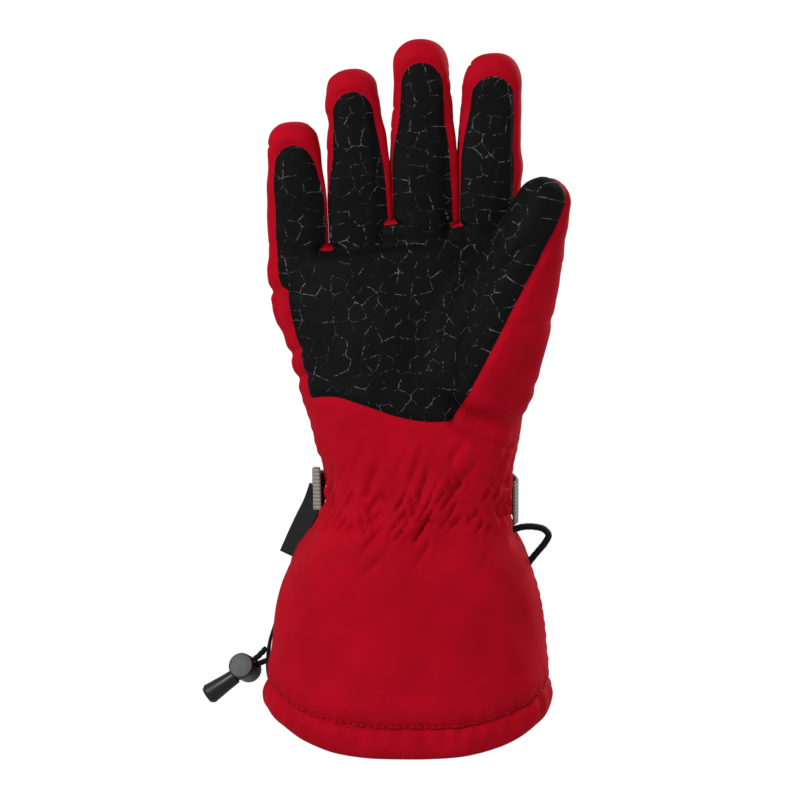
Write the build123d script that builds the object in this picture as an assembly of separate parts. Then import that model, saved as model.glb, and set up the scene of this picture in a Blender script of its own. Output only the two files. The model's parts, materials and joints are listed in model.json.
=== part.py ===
"""Gauntlet ski glove for the right hand, built from separate sewn and moulded pieces.

Row frame, millimetres: the glove stands on its cuff. +Z runs from the hem to the fingertips, the back of
the hand faces -Y, the palm faces +Y, and the thumb is on the -X side. The origin is the middle of the cuff
opening, on the plane that the hem rests on.
"""

from build123d import *
from math import cos, radians, sin, sqrt
import os

# ---- driving dimensions -------------------------------------------------------------------------------
SHELL = 1.6  # three-layer softshell fabric
LINING = 3.6  # fleece lining with its bonded wadding
PLY_GAP = 0.3  # air between neighbouring plies
CUT_GAP = 0.5  # gap between two rigid segments of one bending finger
SEAM = 0.3  # gap between two panels that meet at a seam
BIG = 400.0  # longer than the glove, for cutting tools
STANDING = (Align.CENTER, Align.CENTER, Align.MIN)  # a cylinder that starts at its own plane

HEM_HEIGHT = 14.0
HEM_WALL = 6.0
HEM_FLAT = 32.0  # half width of the level part of the hem, which the glove stands on
HEM_RISE = 8.0  # how far the hem climbs to each side seam
HEM_EDGE = 66.0
CORD_R = 1.3
TUNNEL_R = 1.9

# outer surface of cuff, wrist and hand: height, half width, half depth, middle in X, middle in Y
HAND_STATIONS = [
    (-2.0, 63.5, 42.0, 0.5, 0.0),
    (40.0, 65.0, 43.5, 0.0, 0.0),
    (76.0, 62.0, 42.0, -0.5, 0.0),
    (92.0, 55.0, 39.5, -1.0, 0.0),
    (99.5, 45.5, 36.5, -3.8, 0.0),
    (127.0, 42.5, 35.5, -5.0, 0.0),
    (142.0, 48.5, 33.5, -3.0, 0.0),
    (165.0, 54.0, 30.5, -1.0, 0.0),
    (195.0, 57.0, 26.5, 1.5, 0.0),
    (212.0, 58.0, 22.5, 3.8, 0.0),
]
HAND_TOP = (230.0, 57.3, 15.5, 5.8, 0.0)  # knuckle end of the hand, just under the roots of the fingers
TOP_TILT = 6.0  # degrees that the knuckle end drops towards the little finger
WRIST_Z = 110.0
PALM_EDGE_Z = 155.0  # where the black palm meets the red heel of the hand
GUSSET_X, GUSSET_TOP = -27.0, 212.0  # inner and upper edges of the panel that the thumb grows out of
BACK_SEAM = [(48.0, 140.0), (-34.0, 229.0)]  # slanting seam across the back of the hand
ELASTIC_LOWS = (108.0, 119.0)
ELASTIC_WIDTH = 6.0
ELASTIC_PLY = 1.2
LINING_SEAM_Z = 130.0

# fingers: middle of the root in X and Z, lean to +X in degrees, length, half width at root and tip
FINGERS = {
    "index": (-37.0, 232.0, -0.6, 86.0, 15.0, 13.4),
    "middle": (-7.0, 236.0, 1.2, 88.0, 14.6, 13.4),
    "ring": (22.2, 231.0, 2.9, 80.0, 14.2, 13.0),
    "little": (50.0, 220.0, 2.4, 67.0, 13.9, 12.4),
}
FINGER_DEPTH = 0.95  # depth of a finger over its width
KNUCKLE = 16.0  # height of the base hinge above the finger's root
MIDDLE_SHARE = 0.42  # the middle hinge's place between base hinge and tip
GRIP_SHARE = 0.62  # the grip strip begins this far from the finger's middle, as a share of its half depth
PIVOT_PROUD = 0.5  # the hinge line is this far outside the palm side of the finger
STUB = 14.0  # length of each finger's root inside the hand

# thumb: line from its root to its tip, and which way its pad faces
THUMB_ROOT = (-33.0, 14.0, 166.0)
THUMB_TIP = (-58.0, 42.0, 259.0)
THUMB_PAD = (0.87, 0.49, 0.0)
THUMB_WIDTHS = [(0.0, 24.0, 19.0), (0.35, 21.5, 18.0), (0.6, 17.5, 15.5), (0.86, 14.0, 13.2)]
THUMB_HINGES = (0.61, 0.81)
THUMB_CLEARANCE = 0.6
THUMB_GRIP_SHARE = 0.15

STRAP_WIDTH = 20.0
PLY = 1.3  # webbing thickness
STRAP_PATH = [(-27.0, -33.2), (-20.0, -36.8), (-12.0, -39.0), (-2.0, -39.8)]
CLIP_TAIL_PATH = [(11.0, -42.4), (4.0, -42.0), (-5.5, -41.6)]
SLIDER_ANCHOR_PATH = [(-48.8, -27.0), (-50.6, -18.0), (-51.1, -8.0), (-50.8, -1.0)]
BUCKLE_ANCHOR_PATH = [(42.9, -29.4), (43.9, -20.0), (43.4, -8.0), (42.8, -1.0)]
SLIDER_AT = (-37.5, -32.4, 111.0)
SLIDER_TURN = -20.0  # degrees about Z: its pull tab points along the strap
SLIDER_LENGTH = 21.0
SLIDER_HEIGHT = 26.0
SLIDER_PLATE = 2.6
SLIDER_RAIL = 2.6
CROSS_BAR = (-3.6, -1.1)  # its two faces, along the slider
TAB_START = 1.7
WINDOW_LOW = -6.2  # the strap covers the slider's window from here
BAR_R = 1.3
BAR_PLAY = 0.08  # between the slider's bar and the webbing round it

BUCKLE_AT = (32.8, -35.6, 110.0)  # middle of the socket half
BUCKLE_TURN = 15.0
SOCKET_LENGTH = 21.0
SOCKET_HEIGHT = 23.0
SOCKET_DEPTH = 8.0
SOCKET_WALL = 1.7
CLIP_REACH = 11.0  # how far the clip half stands out of the socket
CLIP_PLAY = 0.25
CLIP_BAR = 2.2
CLIP_FACE = -SOCKET_LENGTH / 2 - 0.5
CLIP_ROOT = CLIP_FACE - CLIP_REACH
END_BAR = 2.0
SLOT = 2.9  # for two plies of webbing
ROOM_END = SOCKET_LENGTH / 2 - END_BAR - SLOT - SOCKET_WALL  # inner end of the socket's hollow
BEVEL = 5.0
WEBBING_GAP = 0.12  # between webbing and the plastic it passes

LABEL_AT = (52.2, -2.0, 105.5)
LABEL_LEAN = 23.0  # it follows the flare of the cuff
LABEL_SIZE = (6.0, 1.2, 26.0)

TAIL_AT = (66.0, -9.0, 38.0)  # where the drawcord leaves the side of the cuff
TAIL_DROP = 35.0  # degrees below level
STRAND_GAP = 1.55  # half the distance between the two strands
LOCK_ALONG = 12.0
LOCK_TURN = 25.0  # the lock's button is turned this far down from facing the back of the hand
LOCK_R = 6.0
LOCK_LOW, LOCK_HIGH = -9.0, 5.0
PLUNGER_R = 4.1
PLUNGER_PLAY = 0.08
PLUNGER_TRAVEL = 3.5
PLUNGER_TOP = 10.0
BELL_ALONG = 18.5
BELL_LENGTH = 16.0
BELL_R = (3.5, 4.8)


# ---- helpers -------------------------------------------------------------------------------------------
def block(low, high):
    """A box between two corners."""
    size = [h - l for l, h in zip(low, high)]
    middle = [(h + l) / 2 for l, h in zip(low, high)]
    return Pos(*middle) * Box(*size)


def save(shape, name):
    """Writes one node, as its separate solids."""
    solids = shape.solids() if not isinstance(shape, list) else [s for part in shape for s in part.solids()]
    out = Compound(children=solids) if len(solids) > 1 else solids[0]
    out.label = name
    export_step(out, f"parts/{name}.step")


def hand_body(inset):
    """Solid inside of the hand and cuff's outer surface, moved in by inset."""
    rings = []
    for z, a, b, cx, cy in HAND_STATIONS:
        rings.append(Pos(cx, cy, z) * Ellipse(a - inset, b - inset))
    z, a, b, cx, cy = HAND_TOP
    rings.append(Location((cx, cy, z - inset), (0, TOP_TILT, 0)) * Ellipse(a - inset, b - inset))
    return loft(rings, ruled=True)


def tube(stations, inset):
    """Solid finger along +Z from (height, half width, half depth) stations, with a round tip."""
    top, a, b = stations[-1]
    rings = [Pos(0, 0, z) * Ellipse(w - inset, d - inset) for z, w, d in stations]
    dome = min(a, b) - inset
    for rise, share in ((0.5, 0.866), (0.8, 0.6), (0.97, 0.25)):
        rings.append(Pos(0, 0, top + rise * dome) * Ellipse((a - inset) * share, (b - inset) * share))
    return loft(rings, ruled=True)


def slab(low, high):
    """Everything between two heights of the local frame."""
    return block((-BIG, -BIG, low), (BIG, BIG, high))


def in_front_of(y):
    return block((-BIG, y, -BIG), (BIG, BIG, BIG))


def behind(y):
    return block((-BIG, -BIG, -BIG), (BIG, y, BIG))


# ---- fingers -------------------------------------------------------------------------------------------
def finger_frame(name):
    x, z, lean, *_ = FINGERS[name]
    return Location((x, 0, z), (0, lean, 0))


def finger_stations(name):
    *_, length, root, tip = FINGERS[name]
    top = length - tip * FINGER_DEPTH
    return [
        (-STUB, root * 0.92, root * FINGER_DEPTH * 0.92),
        (0, root, root * FINGER_DEPTH),
        (length * 0.45, root * 0.98, root * FINGER_DEPTH),
        (top, tip, tip * FINGER_DEPTH),
    ]


def finger_hinges(name):
    """Heights of the base and middle hinges in the finger's own frame."""
    length = FINGERS[name][3]
    return KNUCKLE, KNUCKLE + MIDDLE_SHARE * (length - KNUCKLE)


def finger_depth_at(name):
    return FINGERS[name][4] * FINGER_DEPTH


def finger_layers(name):
    """Outer solid, shell ply and lining ply of a whole finger, in its own frame."""
    stations = finger_stations(name)
    outer = tube(stations, 0)
    under = tube(stations, SHELL)
    warm = tube(stations, SHELL + PLY_GAP)
    inside = tube(stations, SHELL + PLY_GAP + LINING)
    low = slab(-STUB + 1, BIG)
    return outer, (outer - under) & low, (warm - inside) & low


def make_finger(name):
    """Both rigid segments of one finger: back, side strips, grip and lining."""
    _, shell, lining = finger_layers(name)
    base, middle = finger_hinges(name)
    half = CUT_GAP / 2
    grip_y = finger_depth_at(name) * GRIP_SHARE
    base_span = slab(base + half, middle - half)
    tip_span = slab(middle + half, BIG)
    frame = finger_frame(name)
    front, side_low = in_front_of(grip_y + SEAM / 2), -grip_y
    sides = block((-BIG, side_low + SEAM / 2, -BIG), (BIG, grip_y - SEAM / 2, BIG))
    length = FINGERS[name][3]
    grip_top = slab(-BIG, length - 8.5)
    save(frame * (shell & base_span & behind(side_low - SEAM / 2)), f"{name}_back")
    save(frame * (shell & base_span & sides), f"{name}_fourchettes")
    save(frame * (shell & base_span & front), f"{name}_grip")
    tip_grip = shell & tip_span & front & grip_top
    tip_wrap = (shell & tip_span) - block((-BIG, grip_y - SEAM / 2, -BIG), (BIG, BIG, length - 8.5 + SEAM))
    save(frame * tip_wrap, f"{name}_tip_wrap")
    save(frame * tip_grip, f"{name}_tip_grip")
    save(frame * (lining & base_span), f"{name}_lining")
    save(frame * (lining & tip_span), f"{name}_tip_lining")


# ---- thumb ---------------------------------------------------------------------------------------------
def thumb_plane():
    """Local frame of the thumb: +Z along it, +Y the way its pad faces."""
    along = Vector(*THUMB_TIP) - Vector(*THUMB_ROOT)
    pad = Vector(*THUMB_PAD)
    across = pad.cross(along.normalized())
    return Plane(origin=THUMB_ROOT, x_dir=across.normalized(), z_dir=along.normalized())


def thumb_length():
    return (Vector(*THUMB_TIP) - Vector(*THUMB_ROOT)).length


def thumb_stations():
    length = thumb_length()
    return [(share * length, w, d) for share, w, d in THUMB_WIDTHS]


def make_thumb_layers():
    stations = thumb_stations()
    outer = tube(stations, 0)
    under = tube(stations, SHELL)
    warm = tube(stations, SHELL + PLY_GAP)
    inside = tube(stations, SHELL + PLY_GAP + LINING)
    return outer, under, warm, inside


def make_thumb():
    outer, under, warm, inside = make_thumb_layers()
    shell, lining = outer - under, warm - inside
    place = thumb_plane().location
    length = thumb_length()
    first, second = (share * length for share in THUMB_HINGES)
    half = CUT_GAP / 2
    split = THUMB_WIDTHS[2][2] * THUMB_GRIP_SHARE
    front, rear = in_front_of(split + SEAM / 2), behind(split - SEAM / 2)
    spans = {"thumb": slab(first + half, second - half), "thumb_tip": slab(second + half, BIG)}
    for prefix, span in spans.items():
        save(place * (shell & span & rear), f"{prefix}_outer_panel")
        save(place * (shell & span & front), f"{prefix}_grip")
        save(place * (lining & span), f"{prefix}_lining")


# ---- hand and cuff -------------------------------------------------------------------------------------
def glove_solid(inset):
    """Hand, cuff, finger roots and thumb root as one solid, moved in by inset."""
    solid = hand_body(inset)
    half = CUT_GAP / 2
    for name in FINGERS:
        root = tube(finger_stations(name), inset) & slab(-STUB + 1, KNUCKLE - half)
        solid += finger_frame(name) * root
    thumb = tube(thumb_stations(), inset) & slab(-BIG, thumb_length() * THUMB_HINGES[0] - half)
    return solid + thumb_plane().location * thumb


def free_thumb_room():
    """Space kept clear for the part of the thumb that moves."""
    room = tube(thumb_stations(), -THUMB_CLEARANCE)
    return thumb_plane().location * (room & slab(thumb_length() * THUMB_HINGES[0] - CUT_GAP, BIG))


def hem_profile(low, high):
    """Slice through the glove between two copies of the hem line, raised by low and by high."""
    left, right = (-HEM_EDGE, HEM_RISE), (HEM_EDGE, HEM_RISE)
    far = BIG / 2

    def line(lift):
        return [
            (-far, HEM_RISE + lift),
            (left[0], HEM_RISE + lift),
            (-HEM_FLAT - 18, HEM_RISE * 0.28 + lift),
            (-HEM_FLAT, lift),
            (HEM_FLAT, lift),
            (HEM_FLAT + 18, HEM_RISE * 0.28 + lift),
            (right[0], HEM_RISE + lift),
            (far, HEM_RISE + lift),
        ]

    outline = Polyline(*line(low), *reversed(line(high)), close=True)
    return extrude(Plane.XZ * make_face(outline), BIG, both=True)


def make_hem():
    """Folded hem with a tunnel round it, the drawcord inside, and the panels' lower limit."""
    a, b = HAND_STATIONS[1][1], HAND_STATIONS[1][2]
    ring = extrude(Ellipse(a, b) - Ellipse(a - HEM_WALL, b - HEM_WALL), 40)
    band = ring & hem_profile(0, HEM_HEIGHT)
    mid_a, mid_b = a - HEM_WALL / 2, b - HEM_WALL / 2
    lift = HEM_HEIGHT / 2 + 1
    path = Pos(0, 0, lift + 1) * Ellipse(mid_a, mid_b).edge()
    start = Plane(origin=path @ 0, z_dir=path % 0)
    tunnel = sweep(start * Circle(TUNNEL_R), path=path)
    cord = sweep(start * Circle(CORD_R), path=path)
    save(band - tunnel, "hem_band")
    save(cord, "hem_drawcord")


def make_hand():
    """Shell panels, lining, and elastic of the hand and cuff."""
    outer = glove_solid(0)
    under = glove_solid(SHELL)
    warm = glove_solid(SHELL + PLY_GAP)
    inside = glove_solid(SHELL + PLY_GAP + LINING)
    above_hem = hem_profile(HEM_HEIGHT + SEAM, BIG) - free_thumb_room()
    shell = (outer - under) & above_hem
    lining = (warm - inside) & above_hem

    palm_side, back_side = in_front_of(SEAM / 2), behind(-SEAM / 2)
    low_palm = slab(-BIG, PALM_EDGE_Z - SEAM / 2)
    high_palm = slab(PALM_EDGE_Z + SEAM / 2, BIG)
    save(shell & palm_side & low_palm, "gauntlet_palm_panel")
    palm = shell & palm_side & high_palm
    save(palm & block((-BIG, -BIG, -BIG), (GUSSET_X, BIG, GUSSET_TOP)), "thumb_gusset")
    save(palm - block((-BIG, -BIG, -BIG), (GUSSET_X + SEAM, BIG, GUSSET_TOP + SEAM)), "palm_grip_panel")

    back = shell & back_side
    seam_low, seam_high = BACK_SEAM
    upper = Polyline(
        (BIG, seam_low[1]), seam_low, seam_high, (-BIG, seam_high[1]), (-BIG, BIG), (BIG, BIG), close=True
    )
    above_seam = extrude(Plane.XZ * make_face(upper), BIG, both=True)
    save(back & above_seam, "back_upper_panel")
    save(back - (Pos(0, 0, -SEAM) * above_seam), "back_lower_panel")

    elastic, pockets = [], []
    top = SHELL + PLY_GAP
    band = hand_body(top) - hand_body(top + ELASTIC_PLY)
    room = hand_body(SHELL) - hand_body(top + ELASTIC_PLY + PLY_GAP)
    for low in ELASTIC_LOWS:
        high = low + ELASTIC_WIDTH
        elastic.append(band & slab(low, high) & in_front_of(6))
        pockets.append(room & slab(low - PLY_GAP, high + PLY_GAP) & in_front_of(6 - PLY_GAP))
    save(elastic, "wrist_elastic")
    lining = lining - pockets
    save(lining & slab(-BIG, LINING_SEAM_Z - SEAM / 2), "gauntlet_lining")
    save(lining & slab(LINING_SEAM_Z + SEAM / 2, BIG), "hand_lining")


# ---- wrist strap ---------------------------------------------------------------------------------------
def ribbon(points, z, width, thickness):
    """Webbing standing on edge: its plan follows the points, and its width runs along Z."""
    sides = []
    for sign in (0.5, -0.5):
        side = []
        for i, (x, y) in enumerate(points):
            x0, y0 = points[max(i - 1, 0)]
            x1, y1 = points[min(i + 1, len(points) - 1)]
            reach = sign * thickness / sqrt((x1 - x0) ** 2 + (y1 - y0) ** 2)
            side.append((x - reach * (y1 - y0), y + reach * (x1 - x0)))
        sides.append(side)
    plan = make_face(Polyline(*sides[0], *reversed(sides[1]), close=True))
    return Pos(0, 0, z - width / 2) * extrude(plan, width)


def slider_frame():
    return Location(SLIDER_AT, (0, 0, SLIDER_TURN))


def make_slider():
    """Ladder slider with its D-shaped pull tab, and the end of the strap that passes over its middle bar."""
    half, high, deep = SLIDER_LENGTH / 2, SLIDER_HEIGHT / 2, SLIDER_PLATE / 2
    opening = high - SLIDER_RAIL
    frame = block((-half + BAR_R, -deep, -high), (TAB_START, deep, high))
    tab_shape = Pos(half - high, 0, 0) * Rot(90, 0, 0) * extrude(Circle(high), deep, both=True)
    tab = tab_shape & block((TAB_START, -BIG, -BIG), (BIG, BIG, BIG))
    tab = fillet(tab.edges().filter_by(GeomType.CIRCLE), 0.8)
    frame = fillet(frame.edges().filter_by(Axis.Y).group_by(Axis.X)[0], 2.5)
    bar = Pos(-half + BAR_R, 0, 0) * Cylinder(BAR_R, 2 * high - 5)
    anchor_slot = block((-half - 1, -BIG, -opening), (CROSS_BAR[0], BIG, opening))
    strap_slot = block((CROSS_BAR[1], -BIG, -opening), (TAB_START, BIG, opening))
    frame = (frame - anchor_slot - strap_slot) + bar + tab
    place = slider_frame()
    save(place * frame, "ladder_slider")

    face = -deep - WEBBING_GAP
    low, high_x = WINDOW_LOW, CROSS_BAR[1] + WEBBING_GAP + PLY
    loop = strap_block((low, face - PLY), (high_x, deep + 1.2))
    loop -= strap_room((low + PLY, face), (CROSS_BAR[1] + WEBBING_GAP, BIG))
    save(place * loop, "strap_tail_loop")


def make_slider_anchor():
    """Short webbing that is sewn to the thumb-side seam and loops round the slider's bar."""
    inner = BAR_R + BAR_PLAY
    place = slider_frame() * Pos(-SLIDER_LENGTH / 2 + BAR_R, 0, 0)
    hole = place * Cylinder(inner, STRAP_WIDTH)
    ring = place * Cylinder(inner + PLY, STRAP_WIDTH)
    start = place.position
    tail = ribbon([(start.X - inner - PLY / 2, start.Y)] + SLIDER_ANCHOR_PATH, SLIDER_AT[2], STRAP_WIDTH, PLY)
    save(ring + tail - hole, "slider_anchor_webbing")


def buckle_frame():
    return Location(BUCKLE_AT, (0, 0, BUCKLE_TURN))


def strap_block(low, high):
    """Box as wide as the webbing, between two corners of its plan."""
    return block((low[0], low[1], -STRAP_WIDTH / 2), (high[0], high[1], STRAP_WIDTH / 2))


def strap_room(low, high):
    """The same, a little wider than the webbing: a slot for it, or the hollow of a loop."""
    return block((low[0], low[1], -STRAP_WIDTH / 2 - 0.2), (high[0], high[1], STRAP_WIDTH / 2 + 0.2))


def make_socket():
    """Hollow half of the buckle: bevelled outer end, open sides for the prongs, and three grip ribs."""
    half, high, deep = SOCKET_LENGTH / 2, SOCKET_HEIGHT / 2, SOCKET_DEPTH / 2
    socket = fillet(block((-half, -deep, -high), (half, deep, high)).edges().filter_by(Axis.X), 2.2)
    bevel = Polyline((half - BEVEL, -deep), (half, -deep + BEVEL / 2), (BIG, -deep), (BIG, -BIG), close=True)
    socket -= extrude(make_face(bevel), BIG, both=True)
    for z in (-6.5, 0, 6.5):
        socket += Location((-half + 5.5, -deep, z), (0, 8, 0)) * Box(7.0, 0.7, 0.7)
    room_y, room_z = deep - SOCKET_WALL, high - SOCKET_WALL
    socket -= block((-BIG, -room_y, -room_z), (ROOM_END, room_y, room_z))
    socket -= block((-4.5, -room_y, -BIG), (ROOM_END - 2.0, room_y, BIG))
    socket -= strap_room((half - END_BAR - SLOT, -BIG), (half - END_BAR, BIG))
    save(buckle_frame() * socket, "buckle_socket")


def make_clip():
    """Pronged half of the buckle: a bar for the strap, a rounded thumb pad, two prongs and a tongue."""
    high, deep = SOCKET_HEIGHT / 2 - 0.6, SOCKET_DEPTH / 2 - 1.0
    fit_y = SOCKET_DEPTH / 2 - SOCKET_WALL - CLIP_PLAY
    fit_z = SOCKET_HEIGHT / 2 - SOCKET_WALL - CLIP_PLAY
    clip = block((CLIP_ROOT, -deep, -high), (CLIP_FACE, deep, high))
    clip = fillet(clip.edges().filter_by(Axis.Y), 1.8)
    slot_low = CLIP_ROOT + CLIP_BAR
    clip -= strap_room((slot_low, -BIG), (slot_low + SLOT, BIG))
    pad_low = slot_low + SLOT + 0.4
    pad = block((pad_low, -deep - 1.6, -high + 0.4), (CLIP_FACE - 0.3, 0, 4.5))
    clip += fillet(pad.edges().group_by(Axis.Y)[0], 1.4)
    for side in (-1, 1):
        low, top = sorted((side * (fit_z - 3.4), side * fit_z))
        clip += block((CLIP_FACE - 1, -fit_y, low), (ROOM_END - 1.5, fit_y, top))
    clip += block((CLIP_FACE - 1, -fit_y, -2.0), (ROOM_END - 4.5, fit_y, 2.0))
    place = buckle_frame()
    save(place * clip, "buckle_clip")

    gap = WEBBING_GAP
    inner, outer = CLIP_ROOT - gap, slot_low + gap
    wrap = strap_block((inner - PLY, -deep - gap - PLY), (outer + PLY, deep + gap + PLY))
    wrap -= strap_room((inner, -deep - gap), (outer, deep + gap))
    save(place * wrap + ribbon(CLIP_TAIL_PATH, BUCKLE_AT[2], STRAP_WIDTH, PLY), "strap_clip_loop")


def make_socket_anchor():
    """Webbing looped through the socket's end and sewn to the little-finger side of the wrist."""
    half, deep = SOCKET_LENGTH / 2, SOCKET_DEPTH / 2
    gap = WEBBING_GAP
    inner, outer = half - END_BAR - gap, half + gap
    wrap = strap_block((inner - PLY, -deep - gap - PLY), (outer + PLY, deep + gap + PLY))
    wrap -= strap_room((inner, -deep - gap), (outer, deep + gap))
    tail = ribbon(BUCKLE_ANCHOR_PATH, BUCKLE_AT[2], STRAP_WIDTH, PLY)
    save(buckle_frame() * wrap + tail, "buckle_anchor_webbing")


def make_strap():
    """The strap where it crosses the back of the wrist."""
    save(ribbon(STRAP_PATH, WRIST_Z, STRAP_WIDTH, PLY), "strap_webbing")


# ---- drawcord, cord lock and loops ---------------------------------------------------------------------
def cord_frame():
    """Along the drawcord's tail: X points away from the glove, Z the way the lock's button faces."""
    drop, turn = radians(TAIL_DROP), radians(LOCK_TURN)
    along = Vector(cos(drop), 0, -sin(drop))
    up = Vector(sin(drop), 0, cos(drop))
    face = Vector(0, -1, 0) * cos(turn) - up * sin(turn)
    return Plane(origin=TAIL_AT, x_dir=along, z_dir=face).location


def make_drawcord():
    place = cord_frame()
    grip = 5.0
    strands = []
    for side in (-1, 1):
        strand = Rot(0, 90, 0) * Cylinder(CORD_R, BELL_ALONG + grip, align=STANDING)
        strands.append(place * (Pos(0, side * STRAND_GAP, 0) * strand))
    save(strands, "drawcord_tail")
    narrow, wide = BELL_R
    profile = make_face(
        Polyline(
            (0, 0),
            (0, narrow),
            (BELL_LENGTH * 0.35, narrow + 0.4),
            (BELL_LENGTH - 1.5, wide),
            (BELL_LENGTH, wide - 1.0),
            (BELL_LENGTH, 0),
            close=True,
        )
    )
    bell = Pos(BELL_ALONG, 0, 0) * revolve(profile, Axis.X)
    for side in (-1, 1):
        hole = Rot(0, 90, 0) * Cylinder(CORD_R + 0.05, 2 * grip + 1)
        bell -= Pos(BELL_ALONG, side * STRAND_GAP, 0) * hole
    save(place * bell, "cord_end")


def slot_prism(low, high, half_width):
    """Passage along the cord: a box from side to side of the lock."""
    return block((-BIG, -half_width, low), (BIG, half_width, high))


def make_cord_lock():
    place = cord_frame() * Pos(LOCK_ALONG, 0, 0)
    half_width = STRAND_GAP + CORD_R + 0.25
    floor = -7.6
    socket_r = PLUNGER_R + PLUNGER_PLAY
    barrel = Pos(0, 0, LOCK_LOW) * Cylinder(LOCK_R, LOCK_HIGH - LOCK_LOW, align=STANDING)
    barrel = fillet(barrel.edges().filter_by(GeomType.CIRCLE), 0.8)
    barrel -= Pos(0, 0, floor) * Cylinder(socket_r, BIG, align=STANDING)
    barrel -= slot_prism(-CORD_R - 0.3, CORD_R + 0.3, half_width)
    save(place * barrel, "cord_lock_barrel")

    foot = -CORD_R - 0.1
    bottom = foot - 1.4
    plunger = Pos(0, 0, bottom) * Cylinder(PLUNGER_R, PLUNGER_TOP - bottom, align=STANDING)
    plunger = fillet(plunger.edges().group_by(Axis.Z)[-1], 1.5)
    plunger -= slot_prism(foot, CORD_R + 0.2 + PLUNGER_TRAVEL, half_width)
    save(place * plunger, "cord_lock_plunger")

    wire = 0.3
    room = bottom - floor - 0.3
    coil = Helix(pitch=(room - 2 * wire) / 2.5, height=room - 2 * wire, radius=PLUNGER_R - 1.2)
    start = Plane(origin=coil @ 0, z_dir=coil % 0)
    spring = sweep(start * Circle(wire), path=coil)
    save(place * (Pos(0, 0, floor + 0.15 + wire) * spring), "cord_lock_spring")


def make_sewn_details():
    """Tab over the drawcord's exit, side label and hang loop."""
    save(block((65.4, -6.0, 27.0), (66.8, 6.0, 49.0)), "drawcord_tab")
    save(Location(LABEL_AT, (0, -LABEL_LEAN, 0)) * Box(*LABEL_SIZE), "side_label")
    points = [(-55.6, 98.0), (-61.0, 97.4), (-66.0, 94.5), (-64.2, 89.0), (-61.3, 86.5)]
    path = Plane.XZ * Spline(*points)
    start = Plane(origin=path @ 0, z_dir=path % 0)
    save(sweep(start * Circle(2.2), path=path), "hang_loop")


os.makedirs("parts", exist_ok=True)
make_hem()
make_hand()
for finger in FINGERS:
    make_finger(finger)
make_thumb()
make_slider()
make_slider_anchor()
make_socket()
make_clip()
make_socket_anchor()
make_strap()
make_drawcord()
make_cord_lock()
make_sewn_details()
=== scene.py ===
"""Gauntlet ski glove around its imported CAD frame: padded softshell, grip palm, strap and drawcord.

Shapes are worked out in millimetres in the shared frame and turned into metres when a mesh is made.
+Z runs to the fingertips, the back of the hand faces -Y, the palm +Y, and the thumb is on the -X side.
"""

import json
import math

import bpy
import numpy as np
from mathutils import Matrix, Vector
from mathutils.bvhtree import BVHTree


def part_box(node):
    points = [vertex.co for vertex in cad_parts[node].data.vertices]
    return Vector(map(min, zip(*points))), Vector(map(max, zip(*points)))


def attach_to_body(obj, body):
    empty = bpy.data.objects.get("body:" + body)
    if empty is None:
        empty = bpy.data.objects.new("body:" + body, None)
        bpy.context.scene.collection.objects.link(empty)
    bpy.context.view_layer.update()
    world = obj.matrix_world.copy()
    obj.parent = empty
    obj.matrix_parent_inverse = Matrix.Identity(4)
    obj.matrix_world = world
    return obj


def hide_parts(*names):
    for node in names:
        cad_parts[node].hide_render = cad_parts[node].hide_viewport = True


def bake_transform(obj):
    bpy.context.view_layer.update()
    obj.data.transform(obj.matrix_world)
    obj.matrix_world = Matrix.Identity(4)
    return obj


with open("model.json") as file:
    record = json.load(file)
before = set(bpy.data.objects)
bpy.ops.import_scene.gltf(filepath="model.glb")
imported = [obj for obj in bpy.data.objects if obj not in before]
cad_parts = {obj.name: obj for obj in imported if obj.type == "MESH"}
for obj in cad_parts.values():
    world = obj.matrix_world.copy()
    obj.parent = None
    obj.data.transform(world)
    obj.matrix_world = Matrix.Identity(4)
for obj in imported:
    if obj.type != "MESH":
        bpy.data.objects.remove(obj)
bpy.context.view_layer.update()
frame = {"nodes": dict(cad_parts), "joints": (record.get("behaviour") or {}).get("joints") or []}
JOINTS = {joint["name"]: joint for joint in frame["joints"]}

MM = 0.001
VOXEL = 1.3  # mesh size of the shell
FINGERS = ("index", "middle", "ring", "little")
HEM_BAND = 14.0  # height of the folded hem


# ---- numbers and small helpers -------------------------------------------------------------------
def smooth(edge0, edge1, x):
    """Smooth step from 0 at edge0 to 1 at edge1."""
    t = np.clip((x - edge0) / (edge1 - edge0), 0.0, 1.0)
    return t * t * (3.0 - 2.0 * t)


def smin(a, b, k):
    """Smooth minimum: the union of two fields with a fillet of about k."""
    h = np.clip(0.5 + 0.5 * (b - a) / k, 0.0, 1.0)
    return b + (a - b) * h - k * h * (1.0 - h)


def waves(points, scale, seed, count=14):
    """Smooth seeded noise near -1..1 whose bumps are about scale millimetres across."""
    rng = np.random.default_rng(seed)
    total = np.zeros(len(points))
    for _ in range(count):
        direction = rng.normal(size=3)
        direction /= np.linalg.norm(direction)
        pitch = scale * rng.uniform(1.6, 2.8)
        total += np.sin(points @ direction * (2 * math.pi / pitch) + rng.uniform(0, 2 * math.pi))
    return total / math.sqrt(count)


def curve_through(stations):
    """Interpolator of rows (z, values...) by a smooth cubic through every station."""
    rows = np.array(stations, float)
    z, values = rows[:, 0], rows[:, 1:]
    slopes = np.gradient(values, z, axis=0)

    def at(height):
        h = np.clip(height, z[0], z[-1])
        i = np.clip(np.searchsorted(z, h) - 1, 0, len(z) - 2)
        step = (z[i + 1] - z[i])[:, None]
        t = ((h - z[i])[:, None]) / step
        a = values[i] * (1 + 2 * t) * (1 - t) ** 2 + values[i + 1] * t * t * (3 - 2 * t)
        b = slopes[i] * step * t * (1 - t) ** 2 - slopes[i + 1] * step * t * t * (1 - t)
        return a + b

    return at


def points_of(x, y, z):
    """Rows of points from three columns or plain numbers."""
    return np.stack(np.broadcast_arrays(x, y, z), axis=1)


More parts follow.
